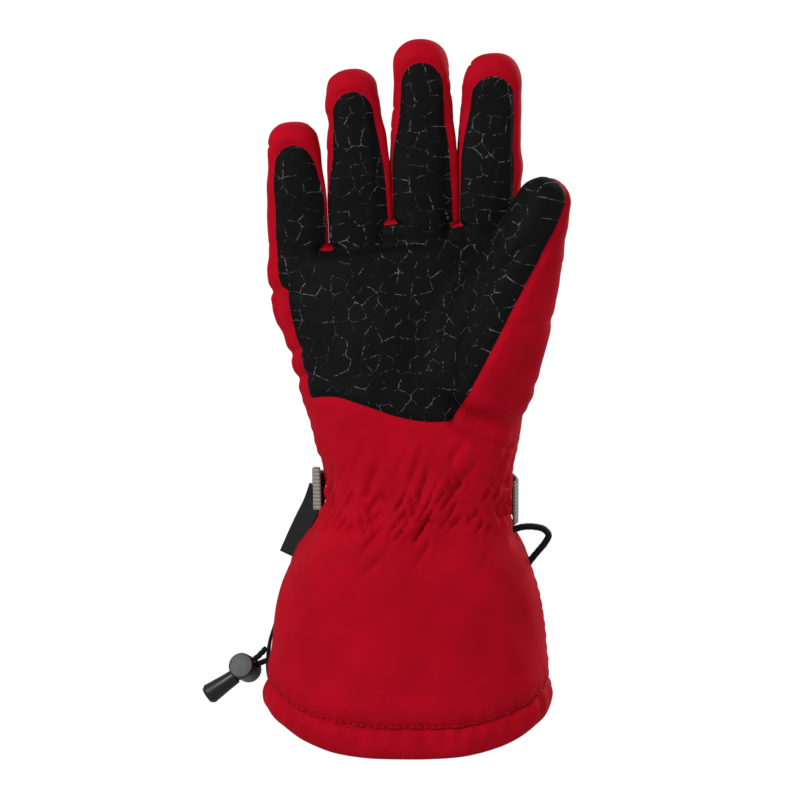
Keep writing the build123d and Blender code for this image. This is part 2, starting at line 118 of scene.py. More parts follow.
def run_along(pts):
    """Length along a path at each of its points."""
    return np.concatenate([[0.0], np.cumsum(np.linalg.norm(np.diff(pts, axis=0), axis=1))])


def box_mm(node):
    low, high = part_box(node)
    return np.array(low) / MM, np.array(high) / MM


def joint_mm(name):
    return np.array(JOINTS[name]["pos_m"]) / MM


def distance_to_segment(points, a, b):
    """Distance of each point from a segment, and the share along it."""
    a, b = np.array(a, float), np.array(b, float)
    d = b - a
    t = np.clip(((points - a) @ d) / (d @ d), 0.0, 1.0)
    return np.linalg.norm(points - a - t[:, None] * d, axis=1), t


# ---- the glove's outer surface as a field --------------------------------------------------------
# height, half width, middle in X, depth of the back, depth of the palm, squareness
HAND = curve_through(
    [
        (-16, 65.6, 0.5, 41.0, 41.0, 2.15),
        (0, 65.6, 0.5, 41.4, 41.4, 2.15),
        (22, 65.2, 0.3, 41.8, 41.8, 2.15),
        (45, 63.6, 0.0, 41.8, 41.8, 2.15),
        (66, 60.4, -0.3, 40.8, 40.6, 2.2),
        (84, 55.4, -0.8, 39.0, 38.6, 2.25),
        (97, 48.4, -2.4, 36.8, 36.2, 2.4),
        (110, 43.0, -4.2, 34.8, 34.4, 2.5),
        (124, 42.4, -5.0, 34.4, 34.0, 2.5),
        (140, 47.2, -3.8, 34.2, 34.0, 2.4),
        (158, 51.6, -2.2, 32.6, 31.8, 2.35),
        (178, 54.6, -0.6, 29.8, 28.6, 2.35),
        (200, 57.0, 1.8, 26.2, 25.2, 2.35),
        (222, 58.2, 5.0, 20.6, 20.4, 2.4),
        (236, 57.6, 6.2, 16.6, 16.8, 2.5),
    ]
)
KNUCKLE_TILT = math.tan(math.radians(6.0))
TOP_Z = 229.0


def hand_field(p):
    """Signed distance, roughly, to the cuff, wrist and hand."""
    row = HAND(p[:, 2])
    a, cx, back, palm, n = row.T
    depth = np.where(p[:, 1] < 0, back, palm)
    x = np.abs(p[:, 0] - cx) / a
    y = np.abs(p[:, 1]) / depth
    radius = (x**n + y**n) ** (1 / n)
    side = (radius - 1.0) * np.minimum(a, depth)
    top = p[:, 2] - (TOP_Z - KNUCKLE_TILT * p[:, 0])
    return -smin(-side, -top, 6.0)


DOME = 0.86  # length of a domed tip, as a share of its half width
SQUARENESS = 2.35  # 2 would make a digit's section an ellipse
DOME_POWER = 2.25


class Digit:
    """A finger or the thumb: a squared round column along a line, with a domed tip."""

    def __init__(self, name, root_half, tip_half, depth_share, below, top_z):
        self.name = name
        self.base = joint_mm(f"{name}_curl")
        self.middle = joint_mm(f"{name}_tip_curl")
        along = self.middle - self.base
        self.along = along / np.linalg.norm(along)
        axis = np.array(JOINTS[f"{name}_curl"]["axis"])
        self.across = -axis / np.linalg.norm(axis)
        self.pad = np.cross(self.along, self.across)
        self.root_half = root_half
        self.tip_half = tip_half
        self.depth_share = depth_share
        self.below = below
        self.segment = np.linalg.norm(self.middle - self.base)
        self.origin = self.base - self.pad * (root_half * depth_share + 0.5)
        reach = (top_z - self.origin[2]) / self.along[2]
        self.top = reach - tip_half * 0.16

    def local(self, p):
        """Across, towards the pad, and along the digit, measured from its base hinge."""
        d = p - self.origin
        return d @ self.across, d @ self.pad, d @ self.along

    def half_width(self, u):
        share = np.clip(u / self.top, 0.0, 1.0)
        return self.root_half + (self.tip_half - self.root_half) * share**1.3

    def field(self, p):
        x, y, u = self.local(p)
        half = self.half_width(u)
        depth = half * self.depth_share
        dome = self.tip_half * DOME
        over = np.maximum(u - (self.top - dome), 0.0) / dome
        under = np.maximum(-self.below - u, 0.0) / 12.0
        n, m = SQUARENESS, DOME_POWER
        radius = ((np.abs(x) / half) ** n + (np.abs(y) / depth) ** n) ** (1 / n)
        radius = (radius**m + over**m + under**m) ** (1 / m)
        return (radius - 1.0) * np.minimum(half, depth)


class Thumb(Digit):
    """The thumb is wide at its root, where it grows out of the heel of the hand."""

    HEEL = 50.0  # the taper starts this far below the base hinge
    HEEL_HALF = 24.5

    def __init__(self, top_z):
        super().__init__("thumb", 17.6, 9.2, 1.0, 58.0, top_z)

    def half_width(self, u):
        share = np.clip((u + self.HEEL) / (self.top + self.HEEL), 0.0, 1.0)
        return self.HEEL_HALF + (self.tip_half - self.HEEL_HALF) * share**1.35


def make_digits():
    """The four fingers by the widths of their CAD pieces, then the thumb."""
    digits = []
    for name in FINGERS:
        low, high = box_mm(f"{name}_fourchettes")
        tip_low, tip_high = box_mm(f"{name}_tip_wrap")
        root = (high[0] - low[0]) / 2 - 0.9
        tip = (tip_high[0] - tip_low[0]) / 2 - 1.6
        digits.append(Digit(name, root, tip, 0.94, 34.0, tip_high[2]))
    thumb_tops = [box_mm(f"thumb_tip_{part}")[1][2] for part in ("outer_panel", "grip")]
    return digits + [Thumb(max(thumb_tops))]


DIGITS = make_digits()
THUMB = DIGITS[-1]
WEB_ENDS = (-34.0, 17.0, 204.0), (-50.0, 27.0, 217.0)
WEB_RADIUS = 8.5


def web_field(p):
    """Fabric between the thumb and the side of the hand."""
    return distance_to_segment(p, *WEB_ENDS)[0] - WEB_RADIUS


CROTCH_Z = (239.0, 240.0, 229.0)  # between neighbouring fingers, from the index finger outwards
FINGER_GAP = 2.6  # gap between two fingers before their sides are puffed out
ROUGH_GAP = 5.0  # the same in the rough mesh, wide enough for its voxels
CLOSED_GAP = 0.5  # what is left between two finished fingers, so that each can bend alone
SLOT_TILT = math.radians(3.5)  # keeps light from passing straight between two fingers
CROTCH_RADIUS = 5.5  # of the web between two fingers
WEB_BACK, WEB_PALM = -3.0, 7.0  # how far the web reaches in Y before it rounds off


class Slot:
    """The gap between two neighbouring fingers: a plane between them, and the web at its foot."""

    def __init__(self, left, right, crotch):
        foot = (left.base + right.base) / 2
        head = (left.middle + right.middle) / 2
        along = (head - foot) / np.linalg.norm(head - foot)
        turn, tilt = math.cos(SLOT_TILT), math.sin(SLOT_TILT)
        self.normal = np.array([along[2] * turn, tilt, -along[0] * turn])
        self.foot = np.array([foot[0] + along[0] / along[2] * (crotch - foot[2]), 0.0, crotch])
        tops = [digit.origin[2] + digit.along[2] * digit.top for digit in (left, right)]
        self.height = min(tops) - crotch

    def beyond(self, p):
        """Distance past the plane, towards the little finger."""
        return (p - self.foot) @ self.normal

    def opening(self, p):
        """0 where the two fingers touch, 1 towards their tips, where they stand apart."""
        return smooth(0.35, 0.8, (p[:, 2] - self.foot[2]) / self.height)

    def half_gap(self, p, gap):
        """Distance of each finger's side from the plane, growing towards the tips."""
        return gap / 2 + 1.3 * self.opening(p)

    def web(self, p):
        """Rounded web that joins the two fingers at the crotch."""
        across = self.beyond(p)
        up = np.maximum(p[:, 2] - (self.foot[2] - CROTCH_RADIUS), 0.0)
        depth = np.maximum(np.maximum(p[:, 1] - WEB_PALM, WEB_BACK - p[:, 1]), 0.0)
        return np.sqrt(across**2 + up**2 + depth**2) - CROTCH_RADIUS


SLOTS = [Slot(a, b, z) for a, b, z in zip(DIGITS[:-2], DIGITS[1:-1], CROTCH_Z)]


def finger_fields(p):
    """Each finger's field, trimmed so that it keeps clear of its neighbours."""
    fields = [digit.field(p) for digit in DIGITS[:-1]]
    for index, slot in enumerate(SLOTS):
        beyond = slot.beyond(p)
        fields[index] = -smin(-fields[index], -(beyond + FINGER_GAP / 2), 2.5)
        fields[index + 1] = -smin(-fields[index + 1], beyond - FINGER_GAP / 2, 2.5)
    return fields


def shell_field(p):
    """Field of the whole glove, zero on its undressed surface."""
    fingers = np.minimum.reduce(finger_fields(p))
    hand = smin(hand_field(p), web_field(p), 9.0)
    for slot in SLOTS:
        hand = smin(hand, slot.web(p), 2.5)
    hand = smin(hand, THUMB.field(p), 7.0)
    return smin(hand, fingers, 3.0)


def gradient(field, p, step=0.35):
    """Unit normals of a field, and its slope."""
    g = np.empty_like(p)
    for axis in range(3):
        offset = np.zeros(3)
        offset[axis] = step
        g[:, axis] = (field(p + offset) - field(p - offset)) / (2 * step)
    size = np.linalg.norm(g, axis=1)
    return g / size[:, None], size


# ---- raw mesh: voxel union, then pulled on to the field ------------------------------------------
def tube_faces(rows, around, first=0, loop=False):
    """Quads between rows of points that each run once round."""
    faces = []
    for row in range(rows if loop else rows - 1):
        here = first + row * around
        there = first + (row + 1) % rows * around
        for k in range(around):
            m = (k + 1) % around
            faces.append((here + k, here + m, there + m, there + k))
    return faces


def closed_tube(rows, around, first=0):
    """Quads of a tube and the two faces that close it."""
    caps = [tuple(first + k for k in reversed(range(around)))]
    caps.append(tuple(first + (rows - 1) * around + k for k in range(around)))
    return tube_faces(rows, around, first) + caps


def section_point(turn, rows):
    """Point of a cross section of the cuff and hand at an angle, and the section's depth there."""
    a, cx, back, palm, n = rows.T
    c, s = np.cos(turn), np.sin(turn)
    depth = np.where(s < 0, back, palm)
    x = cx + a * np.sign(c) * np.abs(c) ** (2 / n)
    y = depth * np.sign(s) * np.abs(s) ** (2 / n)
    return x, y, depth


def hand_rings():
    turns = np.linspace(0, 2 * math.pi, 72, endpoint=False)
    rings = []
    for z in np.linspace(-15, 236, 90):
        x, y, _ = section_point(turns, HAND(np.array([z]))[0])
        rings.append(points_of(x, y, np.minimum(z, TOP_Z - KNUCKLE_TILT * x)))
    return rings


def digit_rings(digit):
    """Rough rings of a digit, kept clear of the slots beside it."""
    turns = np.linspace(0, 2 * math.pi, 40, endpoint=False)
    rings = []
    place = DIGITS.index(digit)
    trims = []
    for index, slot in enumerate(SLOTS):
        trims += [(slot, side) for side in (1, -1) if place == index + (side < 0)]
    dome = digit.tip_half * DOME
    for u in np.linspace(-digit.below, digit.top - 0.4, 60):
        half = float(digit.half_width(np.array([u]))[0])
        over = max(u - (digit.top - dome), 0.0) / dome
        shrink = max(1 - over**DOME_POWER, 0.02) ** (1 / DOME_POWER)
        x = half * shrink * np.cos(turns)
        y = half * digit.depth_share * shrink * np.sin(turns)
        centre = digit.origin + u * digit.along
        ring = centre + np.outer(x, digit.across) + np.outer(y, digit.pad)
        for slot, side in trims:
            excess = np.maximum(side * slot.beyond(ring) + slot.half_gap(ring, ROUGH_GAP), 0.0)
            ring -= np.outer(side * excess, slot.normal)
        rings.append(ring)
    return rings


def web_rings(slot):
    """Rough web at the foot of a slot between fingers."""
    turns = np.linspace(0, 2 * math.pi, 24, endpoint=False)
    rings = []
    for z, half in ((-16.0, 5.0), (-6.0, 5.0), (-2.5, 4.0), (-0.8, 2.2)):
        x = slot.foot[0] + half * np.cos(turns)
        rings.append(points_of(x, 1.9 * half * np.sin(turns), slot.foot[2] + z))
    return rings


def raw_shell():
    """Vertices and quads of the voxel union of hand, fingers and thumb."""
    verts, faces = [], []
    parts = [hand_rings()] + [digit_rings(d) for d in DIGITS]
    parts += [web_rings(slot) for slot in SLOTS]
    for rings in parts:
        faces += closed_tube(len(rings), len(rings[0]), len(verts))
        verts += [tuple(v) for ring in rings for v in ring]
    mesh = bpy.data.meshes.new("raw")
    mesh.from_pydata(verts, [], faces)
    obj = bpy.data.objects.new("raw", mesh)
    bpy.context.scene.collection.objects.link(obj)
    remesh = obj.modifiers.new("union", "REMESH")
    remesh.mode = "VOXEL"
    remesh.voxel_size = VOXEL
    done = obj.evaluated_get(bpy.context.evaluated_depsgraph_get()).to_mesh()
    points = np.empty(len(done.vertices) * 3)
    done.vertices.foreach_get("co", points)
    quads = np.array([tuple(f.vertices) for f in done.polygons])
    bpy.data.objects.remove(obj)
    return points.reshape(-1, 3), quads


def neighbours(count, quads):
    """Edges of the quads, both ways, for averaging over neighbours."""
    pairs = np.concatenate([quads[:, [k, (k + 1) % 4]] for k in range(4)])
    pairs = np.unique(np.sort(pairs, axis=1), axis=0)
    degree = np.bincount(pairs.ravel(), minlength=count)
    return pairs, degree


def average(values, pairs, degree):
    """Mean of the values at each point's neighbours."""
    total = np.zeros_like(values)
    np.add.at(total, pairs[:, 0], values[pairs[:, 1]])
    np.add.at(total, pairs[:, 1], values[pairs[:, 0]])
    return total / degree.reshape(-1, *([1] * (values.ndim - 1)))


def fitted_shell():
    """The raw mesh relaxed and pulled on to the field's zero surface."""
    p, quads = raw_shell()
    pairs, degree = neighbours(len(p), quads)
    for _ in range(5):
        for _ in range(2):
            p = p + 0.6 * (average(p, pairs, degree) - p)
        for _ in range(2):
            normal, slope = gradient(shell_field, p)
            p = p - normal * np.clip(shell_field(p) / np.maximum(slope, 0.4), -2.0, 2.0)[:, None]
    return p, quads, pairs, degree


# ---- where the black grip fabric lies ------------------------------------------------------------
THUMB_LINE = ((-68.5, 246.0), (-20.0, 152.0))  # X, Z of the border on the palm side, from tip to heel
PALM_EDGE = curve_through(  # X, Z of the border above the heel
    [
        (-60, 146.0),
        (-40, 149.0),
        (-24, 151.5),
        (-8, 151.0),
        (6, 153.5),
        (20, 158.0),
        (34, 161.5),
        (50, 158.5),
        (64, 152.0),
    ]
)
CROTCH_LINE = curve_through(  # X, Z of the border under the fingers
    [(-70, 250.0), (-48, 246.0), (-22, 237.5), (8, 238.5), (37, 227.5), (62, 222.0), (76, 218.0)]
)


def thumb_line_x(z):
    """X of the thumb's border at a height."""
    (x1, z1), (x0, z0) = THUMB_LINE
    return x0 + (z - z0) * (x1 - x0) / (z1 - z0)


def grip_value(p):
    """Distance to the border in mm, roughly: positive on the grip fabric, negative on the softshell."""
    x, y, z = p.T
    digit_fields = np.stack([d.field(p) for d in DIGITS], 1)
    nearest = np.argmin(digit_fields, axis=1)
    row = HAND(z)
    ulnar = row[:, 1] + row[:, 0]
    line = thumb_line_x(z)
    radial = np.where(z > 226.0, row[:, 1] - row[:, 0] + 4.5, line)
    palm = np.minimum.reduce([ulnar - 5.0 - x, z - PALM_EDGE(x)[:, 0], x - radial, y - 2.0])
    palm = np.minimum(palm, CROTCH_LINE(x)[:, 0] - z)
    strips = np.full(len(p), -99.0)
    for digit in DIGITS[:-1]:
        across, pad, along = digit.local(p)
        half = digit.half_width(along)
        arch = digit.top - 11.0 - half * 0.76
        over = np.maximum(along - arch, 0.0)
        plan = half * 0.76 - np.sqrt(across**2 + over**2)
        strips = np.maximum(strips, np.minimum.reduce([plan, pad - half * 0.26, along + 26.0]))
    value = -smin(-np.minimum(palm, 40.0), -np.minimum(strips, 40.0), 2.4)
    thumb_y = y - (THUMB.origin[1] + (z - THUMB.origin[2]) * THUMB.along[1] / THUMB.along[2])
    facing = smooth(-9.0, 9.0, thumb_y)
    border = facing * line + (1.0 - facing) * -57.5
    on_thumb = np.minimum(x - border, z - PALM_EDGE(x)[:, 0])
    is_thumb = (nearest == len(DIGITS) - 1) & (digit_fields[:, -1] < hand_field(p))
    return np.where(is_thumb, on_thumb, value)


# ---- seams, folds and gathers --------------------------------------------------------------------
BACK_SEAM = ((-37.8, 227.0), (-11.4, 203.0), (21.4, 171.5), (46.0, 137.0))
BACK_BRANCH = ((-37.8, 227.0), (-31.9, 236.0))
GUSSET_SEAM = ((-19.8, 151.8), (-26.0, 145.7), (-34.0, 141.5), (-46.5, 137.7))
THUMB_CREASE = ((-50.0, 229.0), (-26.7, 207.0), (-18.0, 183.0), (-17.5, 164.0), (-19.8, 152.0))
CROSS_SEAMS = {"middle": 275.7, "ring": 277.6, "little": 272.5}
ELASTIC_ROWS = (102.0, 111.5, 121.5)
PLEAT = 5.6  # spacing of the gathers on the palm side of the wrist
STRAP_Z = 110.0
BACK_FOLDS = (  # X and Z of the top and the bottom of each fold beside the strap, and its depth
    ((-30.0, 146.0), (-26.0, 120.0), 1.9),
    ((-11.0, 140.0), (-15.0, 120.0), 1.6),
    ((19.0, 145.0), (8.0, 120.0), 2.3),
    ((31.0, 136.0), (22.0, 120.0), 1.3),
    ((-24.0, 98.0), (-29.0, 74.0), 1.8),
    ((12.0, 98.0), (26.0, 78.0), 1.7),
)
EDGE_PINCHES = (233.0, 205.0, 180.0, 168.0)


def hem_height(x):
    """Height of the hem's lower edge: level in front and behind, and climbing to the side seams."""
    return 15.0 * np.clip(np.abs(x) / 65.0, 0.0, 1.0) ** 3.2


def line_distance(points, line):
    """Distance in X and Z from a bent line, and the length along it."""
    flat = points[:, [0, 2]]
    best = np.full(len(points), 1e9)
    along = np.zeros(len(points))
    run = 0.0
    for a, b in zip(line, line[1:]):
        distance, t = distance_to_segment(flat, a, b)
        length = math.dist(a, b)
        closer = distance < best
        along = np.where(closer, run + t * length, along)
        best = np.minimum(best, distance)
        run += length
    return best, along


def groove(distance, width=1.5):
    """1 on a line, fading to 0 a few widths away."""
    return np.exp(-((distance / width) ** 2))


def puckered(distance, along, seed):
    """A seam's groove with the small gathers that its stitches leave beside it."""
    wobble = waves(points_of(along, 0.0, seed), 9.0, seed, 6)
    pucker = np.sin(along * 2 * math.pi / 5.2 + 1.4 * wobble) * groove(distance - 3.0, 2.6)
    return -1.1 * groove(distance) + 0.18 * pucker


def creases(q, scale, seed, width=0.17):
    """Broken thin valleys that follow the noise's zero lines."""
    lines = np.exp(-((waves(q, scale, seed) / width) ** 2))
    return -lines * smooth(0.0, 0.9, waves(q, scale * 2.2, seed + 50))


def ulnar_seam_y(z):
    """Y of the side seam on the little finger's side: it moves to the palm above the wrist."""
    return -8.0 + 17.0 * smooth(95.0, 150.0, z)


def side_seam_distance(p):
    """Distance from the two side seams of cuff and hand, along Y."""
    row = HAND(p[:, 2])
    right = np.abs(p[:, 1] - ulnar_seam_y(p[:, 2])) + np.where(p[:, 0] > row[:, 1], 0.0, 99.0)
    left = np.abs(p[:, 1]) + np.where((p[:, 0] < row[:, 1]) & (p[:, 2] < 150.0), 0.0, 99.0)
    return np.minimum(right, left)


def pleat_lines(arc, z, slope, seed):
    """Rounded slanted valleys a pleat apart."""
    drift = 1.1 * waves(points_of(arc, 0.0, z * 0.6), 14.0, seed)
    phase = (arc + slope * z + drift) * math.pi / PLEAT
    return np.exp(-((np.sin(phase) / 0.6) ** 2))


def wrist_gathers(p):
    """Crossed pleats between rows of elastic inside the wrist, and their flaring ends."""
    row = HAND(p[:, 2])
    arc = np.arctan2(p[:, 0] - row[:, 1], np.maximum(p[:, 1], 0.5)) * 40.0
    z = p[:, 2] - 2.0 * waves(points_of(arc, 0.0, 0.0), 16.0, 33, 5)
    place = points_of(arc, 0.0, z)
    core = smooth(97.0, 104.0, z) * (1.0 - smooth(118.0, 126.0, z))
    rising = pleat_lines(arc, z, 0.62, 61) * smooth(-0.7, 0.5, waves(place, 6.0, 65))
    falling = pleat_lines(arc, z, -0.62, 64) * smooth(-0.4, 0.8, waves(place, 6.0, 66))
    crossed = 1.0 - (1.0 - rising) * (1.0 - falling)
    shape = core * (1.0 - 2.5 * crossed)
    above = smooth(112.0, 121.0, z) * (1.0 - smooth(124.0, 148.0, z))
    below = smooth(78.0, 100.0, z) * (1.0 - smooth(104.0, 110.0, z))
    wide = arc * 0.55
    long_fold = smooth(-0.7, 0.7, waves(place * (1.0, 1.0, 0.15), 7.0, 75))
    shape -= 2.5 * above * long_fold * pleat_lines(wide, z * 0.55, 0.62, 67)
    shape -= 2.5 * below * long_fold * pleat_lines(wide + 3.0, z * 0.55, 0.55, 70)
    shape += 1.1 * groove(z - 112.0, 16.0) * waves(p * (1.0, 1.0, 0.5), 10.0, 31)
    for row_z in ELASTIC_ROWS:
        shape -= 0.35 * core * groove(z - row_z, 1.8)
    return shape * smooth(-9.0, 3.0, p[:, 1])


def strap_folds(p):
    """Folds above and below the strap on the back of the wrist, and the fabric it squeezes out."""
    z = p[:, 2]
    total = np.zeros(len(p))
    for high, low, depth in BACK_FOLDS:
        distance, t = distance_to_segment(p[:, [0, 2]], high, low)
        near = 1.0 - t if low[1] < STRAP_Z else t
        total -= depth * near**0.6 * groove(distance, 2.0 + 3.2 * (1.0 - near))
        total += 0.45 * depth * near * groove(distance - 5.5, 3.5)
    bulge = 1.6 * groove(z - 127.0, 8.0) + 1.3 * groove(z - 91.0, 8.0)
    press = -2.2 * groove(z - STRAP_Z, 10.5)
    return (total + bulge + press) * smooth(2.0, -10.0, p[:, 1])


def digit_of(p):
    """Nearest digit of each point and its place along that digit; the thumb is the last."""
    fields = np.stack([d.field(p) for d in DIGITS], 1)
    nearest = np.argmin(fields, axis=1)
    locals_ = [d.local(p) for d in DIGITS]
    across, pad, along = (np.choose(nearest, [item[k] for item in locals_]) for k in range(3))
    half = np.choose(nearest, [d.half_width(item[2]) for d, item in zip(DIGITS, locals_)])
    return nearest, fields[np.arange(len(p)), nearest], across, pad, along, half


def dress(p, grip):
    """How far each point of the surface moves out: seams, puckers, creases and folds."""
    x, y, z = p.T
    nearest, field, across, pad, along, half = digit_of(p)
    on_digit = smooth(4.0, 0.5, field) * smooth(-16.0, -4.0, along)
    on_finger = on_digit * (nearest < len(FINGERS))
    on_hand = 1.0 - on_digit
    back = smooth(2.0, -6.0, y)
    palm = 1.0 - back

    out = -0.95 * groove(grip, 1.3) + 0.3 * groove(np.abs(grip) - 3.6, 2.2)
    for line, seed in ((BACK_SEAM, 3), (BACK_BRANCH, 4)):
        distance, run = line_distance(p, line)
        out += puckered(distance, run, seed) * back * on_hand
    distance, run = line_distance(p, GUSSET_SEAM)
    out += puckered(distance, run, 5) * palm * on_hand
    crease = line_distance(p, THUMB_CREASE)[0]
    out += -1.6 * groove(crease, 2.4) * palm * (y > 5.0)
    distance = side_seam_distance(p)
    side_line = smooth(238.0, 225.0, z) * smooth(-12.0, 4.0, z)
    out += puckered(distance, z, 6) * side_line * on_hand

    seam = np.abs(np.abs(across) - 0.80 * half)
    finger_back = smooth(1.0, -3.0, pad) * on_finger * smooth(-4.0, 6.0, along)
    out += puckered(seam, along, 7) * finger_back
    for name, height in CROSS_SEAMS.items():
        index = FINGERS.index(name)
        digit = DIGITS[index]
        place = (height - digit.origin[2]) / digit.along[2]
        out += puckered(np.abs(along - place), across, 8) * (nearest == index) * finger_back

    stretch = points_of(across * 0.32, pad * 0.32, along) + nearest[:, None] * 37.0
    wrinkles = 0.34 * waves(stretch, 5.5, 11) + 0.62 * creases(stretch, 7.0, 12)
    out += wrinkles * on_digit * np.where(grip > 0.0, 0.5, 1.0)
    slow = 0.75 * waves(p, 19.0, 1) + 0.3 * waves(p * (1.0, 1.0, 0.7), 8.0, 2)
    out += slow * (0.45 + 0.55 * on_hand)
    diagonal = points_of(x * 0.5 + z * 0.22, y, z * 0.8 - x * 0.35)
    quiet = np.where(grip > 0.0, 0.5, 1.0) * smooth(60.0, 130.0, z)
    out += 0.4 * creases(diagonal, 15.0, 21, 0.3) * on_hand * quiet

    out += wrist_gathers(p) + strap_folds(p)
    row = HAND(z)
    right, left = row[:, 1] + row[:, 0], row[:, 1] - row[:, 0]
    ulnar = smooth(right - 15.0, right - 1.0, x)
    thumb_side = smooth(left + 12.0, left + 1.0, x)
    for height in EDGE_PINCHES:
        drift = 3.0 * waves(p * (1.0, 1.0, 0.0), 20.0, int(height), 4)
        out += -1.7 * groove(z - height - drift, 2.4) * ulnar * on_hand
        out += -0.8 * groove(z - height + 12.0 - drift, 2.6) * thumb_side * on_hand

    over_hem = z - hem_height(x) - HEM_BAND
    turn = np.arctan2(y * 1.5, x) * 62.0
    drift = 2.2 * waves(points_of(turn, 0.0, 0.0), 20.0, 41, 6)
    ruffle = np.sin(turn * 2 * math.pi / 9.0 + drift)
    out += 0.4 * ruffle * groove(over_hem, 7.0) - 1.3 * groove(over_hem, 2.0)
    out += 1.1 * groove(over_hem - 7.0, 6.0)
    return out


def close_slots(p, moved):
    """Puffs the lower sides of neighbouring fingers out until they nearly touch."""
    for slot in SLOTS:
        before = slot.beyond(p)
        after = slot.beyond(moved)
        side = np.sign(before)
        height = p[:, 2] - slot.foot[2]
        above = smooth(-2.5, 1.0, height)
        near = smooth(7.5, 3.4, np.abs(before)) * above * (1.0 - slot.opening(p))
        reach = side * after + (CLOSED_GAP / 2 - side * after) * near
        reach = np.maximum(reach, CLOSED_GAP / 2)
        local = above * (np.abs(before) < 12.0)
        moved = moved + np.outer((side * reach - after) * local, slot.normal)
    return moved


def dressed_shell():
    """Undressed and dressed points of the shell, its border values and its quads."""
    p, quads, pairs, degree = fitted_shell()
    normal = gradient(shell_field, p)[0]
    grip = grip_value(p)
    for _ in range(3):
        grip = 0.5 * grip + 0.5 * average(grip, pairs, degree)
    moved = close_slots(p, p + normal * dress(p, grip)[:, None])
    return p, moved, grip, quads


def vertex_normals(p, quads):
    """Unit normal at each point of a quad mesh."""
    a, b, c, d = (p[quads[:, k]] for k in range(4))
    flat = np.cross(c - a, d - b)
    total = np.zeros_like(p)
    for k in range(4):
        np.add.at(total, quads[:, k], flat)
    return total / np.linalg.norm(total, axis=1)[:, None]


# ---- materials -----------------------------------------------------------------------------------
class Shader:
    """A node material with one Principled shader, built up by short calls."""

    def __init__(self, name, color, roughness, **extra):
        self.material = bpy.data.materials.new(name)
        self.material.use_nodes = True
        self.tree = self.material.node_tree
        self.main = self.tree.nodes["Principled BSDF"]
        self.main.inputs["Base Color"].default_value = (*color, 1.0)
        self.main.inputs["Roughness"].default_value = roughness
        for key, value in extra.items():
            self.main.inputs[key.replace("_", " ")].default_value = value
        self.height = None

    def node(self, kind, settings=None, **inputs):
        """New node; inputs are named, or numbered as i0, i1 and so on."""
        made = self.tree.nodes.new(f"ShaderNode{kind}")
        for key, value in (settings or {}).items():
            setattr(made, key, value)
        for key, value in inputs.items():
            numbered = key[0] == "i" and key[1:].isdigit()
            slot = made.inputs[int(key[1:])] if numbered else made.inputs[key]
            self.feed(slot, value)
        return made

    def feed(self, slot, value):
        """Links a socket, or sets a number or color."""
        if isinstance(value, bpy.types.NodeSocket):
            self.tree.links.new(value, slot)
        else:
            slot.default_value = value

    def rest(self):
        """Place on the piece before it bends, in millimetres."""
        return self.node("Attribute", {"attribute_name": "rest"}).outputs["Vector"]

    def math(self, kind, a, b=0.0):
        return self.node("Math", {"operation": kind}, i0=a, i1=b).outputs[0]

    def noise(self, vector, scale, detail=2.0):
        return self.node("TexNoise", None, Vector=vector, Scale=scale, Detail=detail).outputs["Fac"]

    def stretch(self, vector, factors):
        return self.node("VectorMath", {"operation": "MULTIPLY"}, i0=vector, i1=factors).outputs[0]

    def ramp(self, value, low, high, smooth_step=True):
        """0 up to low, 1 from high on."""
        kind = "SMOOTHSTEP" if smooth_step else "LINEAR"
        made = self.node("MapRange", {"interpolation_type": kind}, i0=value, i1=low, i2=high)
        return made.outputs[0]

    def mix(self, share, a, b):
        made = self.node("Mix", {"data_type": "RGBA"}, i0=share)
        for slot, value in ((made.inputs[6], a), (made.inputs[7], b)):
            self.feed(slot, (*value, 1.0) if isinstance(value, tuple) else value)
        return made.outputs[2]

    def bump(self, height, strength, distance):
        made = self.node("Bump", None, Height=height, Strength=strength, Distance=distance)
        if self.height is not None:
            self.tree.links.new(self.height, made.inputs["Normal"])
        self.height = made.outputs["Normal"]
        self.tree.links.new(self.height, self.main.inputs["Normal"])

    def link(self, value, name):
        self.tree.links.new(value, self.main.inputs[name])


BLACK = (0.004, 0.004, 0.0045)
THREAD_PITCH = 1.15  # along the webbing
THREAD_WIDTH = 1.7  # across it


def softshell_material():
    """Matt red stretch fabric with a fine knit and a soft sheen."""
    m = Shader("softshell_red", (0.52, 0.0002, 0.012), 0.8, Sheen_Weight=0.03, Sheen_Roughness=0.5)
    m.main.inputs["Sheen Tint"].default_value = (1.0, 0.20, 0.25, 1.0)
    m.main.inputs["Specular IOR Level"].default_value = 0.10
    place = m.rest()
    cloudy = m.ramp(m.noise(place, 0.06), 0.35, 0.65)
    fleck = m.ramp(m.noise(place, 2.4, 3.0), 0.3, 0.7)
    shade = m.mix(cloudy, (0.48, 0.0002, 0.011), (0.55, 0.0003, 0.014))
    m.link(m.mix(m.math("MULTIPLY", fleck, 0.35), shade, (0.40, 0.0002, 0.009)), "Base Color")
    m.bump(m.noise(place, 3.2, 2.0), 0.16, 0.0003)
    m.bump(m.noise(m.stretch(place, (0.5, 0.5, 1.0)), 0.35, 3.0), 0.10, 0.001)
    return m.material


